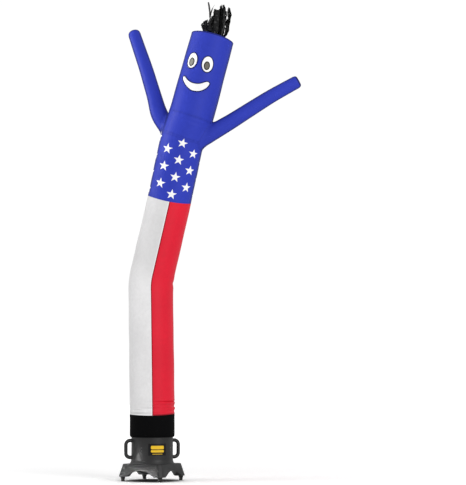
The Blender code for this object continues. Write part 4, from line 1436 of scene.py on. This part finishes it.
class AIRDANCER_OT_hair(bpy.types.Operator):
    """Make the loose black hair on its round pad"""

    bl_idname = "airdancer.hair"
    bl_label = "Hair"

    def strip(self, rng, lock, outer):
        """One strip of a lock: its bearing, half width and twist at rows down it, how far along and out they
        are, and how far its end is cut aslant."""
        length, *reach = LOCKS[lock]
        thin = lock in THIN_LOCKS
        where, loose = OUTER if outer else INNER, THIN if thin else LOOSE
        shares = np.linspace(0, 1, STRIP_ROWS)

        def wander():
            return rng.uniform(-1, 1, STRIP_ROWS)

        bearing = TAU * (lock + 0.25) / len(LOCKS) + rng.uniform(-1, 1) * loose["bearing"]
        root = rng.uniform(*where["root"])
        full = length * rng.uniform(*where["length"])
        inward = rng.uniform(*where["reach"])
        out = np.interp(shares * full / length, LOCK_MARKS, [root, (0.067 + reach[0]) / 2, *reach])
        out = root + (out - root) * inward if outer else out * inward
        free = np.minimum(shares / 0.12, 1)
        out = out + wander() * loose["out"] * free
        swing = np.cumsum(wander()) * loose["swing"]
        swing = swing + wander() * loose["sway"] * free
        wide = THIN_WIDE if thin else rng.uniform(*STRIP_WIDE)
        wide = wide * np.interp(shares, (0, 0.2, 0.9, 1), (0.7, 1, 1, 0.8))
        wide = wide * rng.uniform(0.8, 1.15, STRIP_ROWS)
        twist = rng.uniform(-0.6, 0.6) + np.cumsum(wander()) * 0.25
        return bearing + swing, wide, twist, shares * full, out, rng.uniform(-0.005, 0.005)

    def ribbon(self, bearing, wide, twist, run, out, slant):
        """The rings of four points of a strip."""
        middle, right, back, along = rim_frame()
        base = middle + along * (CROWN[0][1] + HAIR_FOOT)
        lean = np.array(HAIR_LEAN)
        outward = spokes(bearing, right, back)
        across = unit(np.cross(lean, outward))
        c, s = np.cos(twist)[:, None], np.sin(twist)[:, None]
        side = (across * c + outward * s) * wide[:, None]
        side[-1] += lean * slant
        thick = (outward * c - across * s) * STRIP_THICK
        centre = base + np.outer(run, lean) + outward * out[:, None]
        centre[0] -= lean * 0.004
        low, high = centre - side, centre + side
        return np.stack((low - thick, low + thick, high + thick, high - thick), 1)

    def pad(self, hair, foot):
        middle, right, back, along = rim_frame()
        out = spokes(TAU * np.arange(PAD_SIDES) / PAD_SIDES, right, back)
        rings = [middle + out * radius + along * (foot + up) for radius, up in HAIR_PAD]
        places = [(j * 0.01, i * 0.02) for i in range(len(rings) - 1) for j in range(PAD_SIDES)]
        hair.add(rings, [oblong(*place, 0.01, 0.02) for place in places], ((0.0, 0.0),) * PAD_SIDES)

    def execute(self, context):
        settings = context.scene.airdancer_cloth
        rng = np.random.default_rng(11)
        hair = Bundle()
        for lock in range(len(LOCKS)):
            thin = lock in THIN_LOCKS
            for n in range(2 if thin else settings.strips):
                bearing, wide, twist, run, out, slant = self.strip(rng, lock, thin or n < OUTER_STRIPS)
                quads = [
                    oblong(0.0, low, width, high - low)
                    for low, high in zip(run, run[1:])
                    for width in (0.0008, 0.008, 0.0008, 0.008)
                ]
                rings = self.ribbon(bearing, wide, twist, run, out, slant)
                hair.add(rings, quads, oblong(0, 0, 0.008, 0.001))
        self.pad(hair, CROWN[0][1] + settings.cloth + GAP * 1.5)
        mesh = smoothed(hair.mesh("hair_strips"), 16)
        piece("hair_strips", mesh, satin("hair_satin", settings.hair), "black_satin", "hair")
        return {"FINISHED"}


# ---------------------------------------------------------------- the face


def through(rows, count):
    """Evenly spaced points on a smooth line through the rows of a table."""
    rows = np.array(rows, float)
    knots = np.concatenate((2 * rows[:1] - rows[1:2], rows, 2 * rows[-1:] - rows[-2:-1]))
    t = np.linspace(0, len(rows) - 1, count)
    i = np.minimum(t.astype(int), len(rows) - 2)
    f = (t - i)[:, None]
    a, b, c, d = [knots[i + n] for n in range(4)]
    return b + 0.5 * f * (c - a + f * (2 * a - 5 * b + 4 * c - d + f * (3 * b - a - 3 * c + d)))


def tilted(points, tilt):
    c, s = math.cos(tilt), math.sin(tilt)
    return np.stack((points[:, 0] * c - points[:, 1] * s, points[:, 0] * s + points[:, 1] * c), 1)


def on_head(flat, spot, lift):
    """Points over the head at flat places (across, up) about a spot, raised by lift."""
    down, across = spot
    s = PLACE["rim"] - down + flat[..., 1]
    turn = math.radians(FACE_TURN + across)
    angle = turn + np.arcsin(np.clip(flat[..., 0] / TRUNK.radius(s), -1, 1))
    return TRUNK.at(s, angle, TRUNK.radius(s) + creases(s, angle) + lift)


class AIRDANCER_OT_face(bpy.types.Operator):
    """Make the eyes, the pupils and the smile, each with an edging of thread"""

    bl_idname = "airdancer.face"
    bl_label = "Face"

    def ellipse(self, width, height):
        t = TAU * np.arange(72) / 72
        edge = tilted(np.stack((width / 2 * np.cos(t), height / 2 * np.sin(t)), 1), EYE_TILT)
        return edge, np.zeros_like(edge)

    def crescent(self):
        rows = through(SMILE, 56)
        top, foot = rows[:, :2], rows[:, 2:]
        middle = (top + foot) / 2
        middle[:, 0] *= 0.86
        return np.concatenate((foot, top[-2:0:-1])), np.concatenate((middle, middle[-2:0:-1]))

    def patch(self, name, shape, spot, lift, material, slot, node, settings):
        """A slightly plump patch on the head, from its edge in to its core, with its edging."""
        edge, core = shape
        parts = np.array((0.0, 0.02, 0.06, 0.14, 0.30, 0.50, 0.70, 0.85, 0.93, 0.97, 1.0))
        flat = edge[None] * (1 - parts)[:, None, None] + core[None] * parts[:, None, None]
        plump = PLUMP * (1 - np.exp(-parts / 0.03))[:, None]
        skins = [to_world(on_head(flat, spot, up)) for up in (lift + PATCH_EDGE + plump, lift)]
        panel = np.concatenate((flat, flat[:, :1]), 1)
        mesh = sheet_mesh(name, *skins, True, panel, meets=True)
        shown = piece(name, mesh, material, slot, node)
        edging = self.edging(name, edge, spot, lift, settings, slot == "grey_nylon")

    def edging(self, name, edge, spot, lift, settings, pupil):
        """A flat, rounded band of thread over a patch's edge; a pupil's lies inside it."""
        tangent = unit(np.roll(edge, -1, 0) - np.roll(edge, 1, 0))
        normal = np.stack((tangent[:, 1], -tangent[:, 0]), 1)
        kind, tint = ("pupil_thread", settings.rim) if pupil else ("navy_thread", settings.navy)
        half, shift = EDGING_SIZE[kind]
        edge = edge + normal * shift
        across = [(edge + normal * off * half, up) for off, up in EDGING]
        base = lift + PATCH_EDGE
        outer = np.array([on_head(flat, spot, base + up * EDGING_HIGH) for flat, up in across])
        under = np.array([on_head(flat, spot, lift + 0.0001) for flat, _ in across])
        sides = np.linalg.norm(np.diff(edge, axis=0, append=edge[:1]), axis=1)
        run = np.concatenate(([0], np.cumsum(sides)))
        panel = np.stack(np.meshgrid(run, [off * half for off, _ in EDGING]), -1)
        mesh = turned_out(sheet_mesh(name + "_edging", to_world(outer), to_world(under), True, panel))
        cord = bpy.data.materials.get(kind) or thread(kind, tint)
        return piece(name + "_edging", mesh, cord, "grey_nylon" if pupil else "blue_nylon")

    def execute(self, context):
        settings = context.scene.airdancer_cloth
        white = nylon("patch_nylon", settings.print, settings, roughness=0.5)
        for name, node, down, across, width, height, layer in FACE:
            cloth, slot = white, "white_nylon"
            if layer:
                cloth = nylon(name + "_nylon", getattr(settings, name), settings, roughness=0.55)
                slot = "grey_nylon"
            lift = FACE_LIFT + layer * LAYER_LIFT
            self.patch(name, self.ellipse(width, height), (down, across), lift, cloth, slot, node, settings)
        spot = (SMILE_DOWN, SMILE_ACROSS)
        self.patch("mouth", self.crescent(), spot, FACE_LIFT, white, "white_nylon", "smile", settings)
        return {"FINISHED"}


# ---------------------------------------------------------------- the blower


def turned(name, profile, sides, stand=None):
    """A mesh turned about the axis of stand from a closed profile of (radius, height) points."""
    profile = np.array(profile)
    t = TAU * np.arange(sides) / sides
    radius, high = profile[:, :1], np.repeat(profile[:, 1:], sides, 1)
    rings = np.stack((radius * np.cos(t), radius * np.sin(t), high), -1)
    closed = profile[0, 0] > 0.0005 and profile[-1, 0] > 0.0005
    mesh = bpy.data.meshes.new(name)
    points = to_world(rings.reshape(-1, 3), stand or BLOWER_AXIS)
    mesh.from_pydata(points.tolist(), [], tube_faces(len(profile), sides, closed))
    return smoothed(turned_out(mesh, MERGE), 38)


def rounded(corners, radius, count=4):
    """A closed outline with each corner cut to an arc of that radius."""
    points = []
    for k, corner in enumerate(corners):
        here = Vector(corner)
        before, after = Vector(corners[k - 1]) - here, Vector(corners[(k + 1) % len(corners)]) - here
        reach = min(radius, before.length * 0.45, after.length * 0.45)
        start, end = here + before.normalized() * reach, here + after.normalized() * reach
        for n in range(count + 1):
            t = n / count
            points.append(tuple(start * (1 - t) ** 2 + here * 2 * t * (1 - t) + end * t * t))
    return points


class AIRDANCER_OT_housing(bpy.types.Operator):
    """Make the round moulded housing with its beads, and the screws in it"""

    bl_idname = "airdancer.housing"
    bl_label = "Housing"

    def flare(self, foot):
        """The profile's spread foot, from its rim up to the drum."""
        rim = FLARE_RADIUS - 0.0012
        points = [(FLARE_RADIUS, foot), (rim, foot + FLARE_STEP)]
        for k in range(1, 9):
            t = k / 8
            spread = (rim - DRUM_RADIUS) * (1 - t) ** 2.2
            points.append((DRUM_RADIUS + spread, foot + FLARE_STEP + FLARE_HIGH * t))
        return points

    def bead(self, height, below):
        """The profile's half-round bead at a height, over a wall of radius below."""
        points = []
        for k in range(7):
            t = math.pi * k / 6
            ground = below if k < 3 else NECK_RADIUS
            points.append((ground + (BEAD_RADIUS - ground) * math.sin(t), height - BEAD_HALF * math.cos(t)))
        return points

    def execute(self, context):
        settings = context.scene.airdancer_blower
        foot = DECK_TOP + GAP
        profile = self.flare(foot) + [(DRUM_RADIUS, BEADS[0] - 0.008)] + self.bead(BEADS[0], DRUM_RADIUS)
        profile += [(NECK_RADIUS, BEADS[1] - 0.007)] + self.bead(BEADS[1], NECK_RADIUS)
        profile += [(NECK_RADIUS, LIP_TOP - 0.001), (NECK_RADIUS - 0.001, LIP_TOP)]
        profile += [(DRUM_BORE + 0.001, LIP_TOP), (DRUM_BORE, LIP_TOP - 0.001), (DRUM_BORE, foot)]
        shell = moulded("housing_plastic", settings.plastic, settings.pebble, gloss=0.36)
        piece("blower_housing", turned("blower_housing", profile, 160), shell, "moulded_plastic", "housing")
        piece("housing_screws", self.screws(), metal("screw_steel"), "moulded_plastic")
        return {"FINISHED"}

    def screws(self):
        """Small pan-head screws in pairs round the housing."""
        gathered = bmesh.new()
        for bearing in SCREW_BEARINGS:
            turn = math.radians(bearing - 90)
            out = Vector((math.cos(turn), math.sin(turn), 0))
            for height in SCREW_HEIGHTS:
                spot = Matrix.Translation(out * DRUM_RADIUS + Vector((0, 0, height)))
                stand = BLOWER_AXIS @ spot @ out.to_track_quat("Z", "X").to_matrix().to_4x4()
                one = turned("screw", SCREW, 20, stand)
                gathered.from_mesh(one)
                bpy.data.meshes.remove(one)
        mesh = bpy.data.meshes.new("housing_screws")
        gathered.to_mesh(mesh)
        gathered.free()
        return smoothed(mesh, 35)


def square(half, cut, z):
    """A level square outline with its corners cut off, turned to stand on a corner."""
    points, near = [], half - cut / math.sqrt(2)
    for quarter in range(4):
        spin = Matrix.Rotation(math.pi / 2 * quarter + math.pi / 4, 3, "Z")
        points += [spin @ Vector((half, near, z)), spin @ Vector((near, half, z))]
    return points


def loft(name, *levels):
    """A closed object through outlines of equal count, on the blower's axis."""
    bm = bmesh.new()
    rows = [[bm.verts.new(BLOWER_AXIS @ Vector(p)) for p in level] for level in levels]
    for low, high in zip(rows, rows[1:]):
        for j in range(len(low)):
            n = (j + 1) % len(low)
            bm.faces.new((low[j], low[n], high[n], high[j]))
    bm.faces.new(rows[0])
    bm.faces.new(rows[-1])
    bmesh.ops.recalc_face_normals(bm, faces=bm.faces)
    mesh = bpy.data.meshes.new(name)
    bm.to_mesh(mesh)
    bm.free()
    thing = bpy.data.objects.new(name, mesh)
    bpy.context.scene.collection.objects.link(thing)
    return thing


class AIRDANCER_OT_base(bpy.types.Operator):
    """Make the four-legged base with its arches and slotted air inlet"""

    bl_idname = "airdancer.base"
    bl_label = "Base"

    def cutters(self):
        """What is cut out of the base: its hollow, the arches between its legs and the inlet's slots."""
        low, high = SKIRT_FOOT_HALF - SKIRT_WALL, SKIRT_TOP_HALF - SKIRT_WALL
        cuts = [2 * (half * math.sqrt(2) - LEG_REACH) for half in (low, high)]
        ceiling = square(high, cuts[1], DECK_TOP - DECK)
        found = [loft("hollow", square(low, cuts[0], SKIRT_FOOT - 0.010), ceiling)]
        arch = [(ARCH_HALF, SKIRT_FOOT - 0.020), (-ARCH_HALF, SKIRT_FOOT - 0.020)]
        for k in range(33):
            x = ARCH_HALF * (k / 16 - 1)
            arch.append((x, SKIRT_FOOT + (ARCH_TOP - SKIRT_FOOT) * math.cos(math.pi / 2 * x / ARCH_HALF)))
        for turn in (math.pi / 4, -math.pi / 4):
            spin = Matrix.Rotation(turn, 3, "Z")
            found.append(loft("arch", *[[spin @ Vector((x, y, z)) for x, z in arch] for y in (-0.25, 0.25)]))
        for k in range(SLOTS):
            y = SLOT_PITCH * (k - (SLOTS - 1) / 2)
            x = math.sqrt(GRILLE_RADIUS**2 - (abs(y) + SLOT / 2) ** 2)
            near, far = y - SLOT / 2, y + SLOT / 2
            outline = rounded([(-x, near), (x, near), (x, far), (-x, far)], SLOT / 2)
            found.append(loft("slot", *[[(*p, DECK_TOP + z) for p in outline] for z in (-0.02, 0.02)]))
        return found

    def execute(self, context):
        settings = context.scene.airdancer_blower
        foot = square(SKIRT_FOOT_HALF, CORNER_CUT, SKIRT_FOOT)
        body = loft("blower_base", foot, square(SKIRT_TOP_HALF, CORNER_CUT, DECK_TOP))
        self.bevel(body, "round_edges", settings.edge, 30, 4)
        cutters = self.cutters()
        for cutter in cutters:
            step = body.modifiers.new(cutter.name, "BOOLEAN")
            step.operation, step.solver, step.object = "DIFFERENCE", "EXACT", cutter
        self.bevel(body, "soft_edges", 0.0011, 38, 2)
        graph = bpy.context.evaluated_depsgraph_get()
        mesh = bpy.data.meshes.new_from_object(body.evaluated_get(graph))
        mesh.name = "blower_base"
        for thing in (body, *cutters):
            bpy.data.objects.remove(thing, do_unlink=True)
        pebble = settings.pebble * 1.4
        shell = moulded("base_plastic", settings.plastic, pebble, dust=0.35, grain=1.0, gloss=0.37)
        piece("blower_base", smoothed(mesh, 32), shell, "moulded_plastic", "base")
        return {"FINISHED"}

    def bevel(self, thing, name, width, angle, segments):
        step = thing.modifiers.new(name, "BEVEL")
        step.width = width
        step.segments = segments
        step.limit_method = "ANGLE"
        step.angle_limit = math.radians(angle)
        step.harden_normals = False


class AIRDANCER_OT_fittings(bpy.types.Operator):
    """Make the grips, the feet, the label and the lead's strain relief"""

    bl_idname = "airdancer.fittings"
    bl_label = "Grips and feet"

    def grip_route(self):
        """Points down the middle of a grip and how much thicker it is at each."""
        ends = [DRUM_RADIUS + off for off in (-0.004, 0.002, 0.005, 0.009)]
        corners = []
        for middle, first in ((HANDLE_HIGH - HANDLE_CORNER, 90), (HANDLE_LOW + HANDLE_CORNER, 0)):
            t = np.radians(first - 7.5 * np.arange(13))
            out = HANDLE_OUT - HANDLE_CORNER + HANDLE_CORNER * np.cos(t)
            corners.append(np.stack((out, middle + HANDLE_CORNER * np.sin(t)), 1))
        fall = HANDLE_HIGH - HANDLE_LOW - 2 * HANDLE_CORNER
        straight = [(HANDLE_OUT, HANDLE_HIGH - HANDLE_CORNER - fall * k / 6) for k in range(1, 6)]
        high, low = [(x, HANDLE_HIGH) for x in ends], [(x, HANDLE_LOW) for x in ends[::-1]]
        route = np.concatenate((high, corners[0], straight, corners[1], low))
        plain = (1.0,) * (len(route) - 2 * len(HANDLE_FLARE))
        return route, np.array(HANDLE_FLARE + plain + HANDLE_FLARE[::-1])

    def grip(self, name, side, node, material):
        route, flare = self.grip_route()
        ahead = np.roll(route, -1, 0) - np.roll(route, 1, 0)
        ahead[0], ahead[-1] = route[1] - route[0], route[-1] - route[-2]
        ahead = unit(ahead)
        t = TAU * np.arange(HANDLE_SIDES) / HANDLE_SIDES
        across, beside = [HANDLE_TUBE * flare[:, None] * wave for wave in (np.cos(t), np.sin(t))]
        (x, z), (dx, dz) = route.T[..., None], ahead.T[..., None]
        rings = np.stack((side * (x - dz * across), beside, z + dx * across), -1)
        count, around = rings.shape[:2]
        faces = tube_faces(count, around)
        faces += [tuple(range(around)), tuple(range((count - 1) * around, count * around))]
        mesh = bpy.data.meshes.new(name)
        mesh.from_pydata(to_world(rings.reshape(-1, 3), BLOWER_AXIS).tolist(), [], faces)
        piece(name, smoothed(turned_out(mesh), 40), material, "moulded_plastic", node)

    def gland(self, rubber):
        """The ribbed relief that the lead leaves the drum by."""
        back = DRUM_RADIUS * math.cos(math.radians(5)) + GAP
        profile = [(0.0001, -0.0004), (0.0105, -0.0004), (0.0105, 0.0056), (0.0100, 0.0062), (0.0078, 0.0066)]
        for k in range(GLAND_RIBS):
            z, wide = 0.0085 + 0.0032 * k, 0.0074 - 0.0003 * k
            profile += [(wide, z - 0.0008), (wide, z + 0.0008), (wide - 0.0012, z + 0.0011)]
            profile += [(wide - 0.0012, z + 0.0020)]
        profile += [(0.0058, 0.0238), (0.0052, 0.0242), (0.0001, 0.0242)]
        stand = BLOWER_AXIS @ Matrix.Translation((0, back, GLAND_HEIGHT))
        stand = stand @ Matrix.Rotation(-math.pi / 2, 4, "X")
        piece("lead_gland", turned("lead_gland", profile, 32, stand), rubber, "foot_rubber", "cord_gland")

    def label(self, settings):
        """A thin plate bent round the housing, with plain bars on it."""
        angle = np.linspace(-LABEL_HALF_ANGLE, LABEL_HALF_ANGLE, 41)
        up = np.linspace(LABEL_FOOT, LABEL_TOP, 21)
        a, z = np.meshgrid(angle, up)
        base = DRUM_RADIUS + GAP
        skins = [np.stack((r * np.sin(a), -r * np.cos(a), z), -1) for r in (base + LABEL_THICK, base)]
        skins = [to_world(skin, BLOWER_AXIS) for skin in skins]
        panel = np.stack(((a + LABEL_HALF_ANGLE) * DRUM_RADIUS, z - LABEL_FOOT), -1)
        mesh = sheet_mesh("label_plate", *skins, False, panel, edge_angle=30)
        film = label_film(settings, 2 * LABEL_HALF_ANGLE * DRUM_RADIUS, LABEL_TOP - LABEL_FOOT)
        piece("label_plate", mesh, film, "label_film", "label")

    def execute(self, context):
        settings = context.scene.airdancer_blower
        plastic = moulded("grip_plastic", settings.plastic, settings.pebble * 0.8, roughness=0.46)
        self.grip("right_grip", 1, "handle_right", plastic)
        self.grip("left_grip", -1, "handle_left", plastic)
        looks = {"roughness": 0.68, "grain": 0.35, "dust": 0.22, "gloss": 0.3}
        rubber = moulded("foot_rubber", settings.rubber, 0.0016, **looks)
        top = SKIRT_FOOT - GAP
        foot = (*RUBBER_FOOT, (0.0162, top - 0.0014), (0.0165, top), (0.0001, top))
        for where, bearing in FEET.items():
            turn = math.radians(bearing)
            spot = Matrix.Translation((FOOT_REACH * math.cos(turn), FOOT_REACH * math.sin(turn), 0))
            mesh = turned(f"rubber_foot_{where}", foot, 40, BLOWER_AXIS @ spot)
            piece(f"rubber_foot_{where}", mesh, rubber, "foot_rubber", f"foot_{where}")
        self.label(settings)
        self.gland(rubber)
        return {"FINISHED"}


class AIRDANCER_PT_panel(bpy.types.Panel):
    """The air dancer's sizes, colours and makers"""

    bl_idname = "AIRDANCER_PT_panel"
    bl_label = "Air dancer"
    bl_space_type = "VIEW_3D"
    bl_region_type = "UI"
    bl_category = "Air dancer"

    def draw(self, context):
        for name in ("airdancer_cloth", "airdancer_blower", "airdancer_stage"):
            box = self.layout.box()
            settings = getattr(context.scene, name)
            for field in settings.bl_rna.properties:
                if not field.is_readonly and field.identifier != "name":
                    box.prop(settings, field.identifier)
        for maker in MAKERS:
            self.layout.operator(maker.bl_idname)


MAKERS = (
    AIRDANCER_OT_stage,
    AIRDANCER_OT_cuff,
    AIRDANCER_OT_lower_tube,
    AIRDANCER_OT_chest,
    AIRDANCER_OT_arms,
    AIRDANCER_OT_head,
    AIRDANCER_OT_hair,
    AIRDANCER_OT_face,
    AIRDANCER_OT_housing,
    AIRDANCER_OT_base,
    AIRDANCER_OT_fittings,
)
SETTINGS = {
    "airdancer_cloth": DancerSettings,
    "airdancer_blower": BlowerSettings,
    "airdancer_stage": StageSettings,
}


def register():
    for kind in (*SETTINGS.values(), *MAKERS, AIRDANCER_PT_panel):
        bpy.utils.register_class(kind)
    for name, kind in SETTINGS.items():
        setattr(bpy.types.Scene, name, PointerProperty(type=kind))


def unregister():
    for name in SETTINGS:
        delattr(bpy.types.Scene, name)
    for kind in (AIRDANCER_PT_panel, *reversed(MAKERS), *SETTINGS.values()):
        bpy.utils.unregister_class(kind)


def main():
    register()
    bpy.ops.airdancer.stage()
    bpy.ops.airdancer.cuff()
    bpy.ops.airdancer.lower_tube()
    bpy.ops.airdancer.chest()
    bpy.ops.airdancer.arms()
    bpy.ops.airdancer.head()
    bpy.ops.airdancer.hair()
    bpy.ops.airdancer.face()
    bpy.ops.airdancer.housing()
    bpy.ops.airdancer.base()
    bpy.ops.airdancer.fittings()


if __name__ == "__main__":
    main()
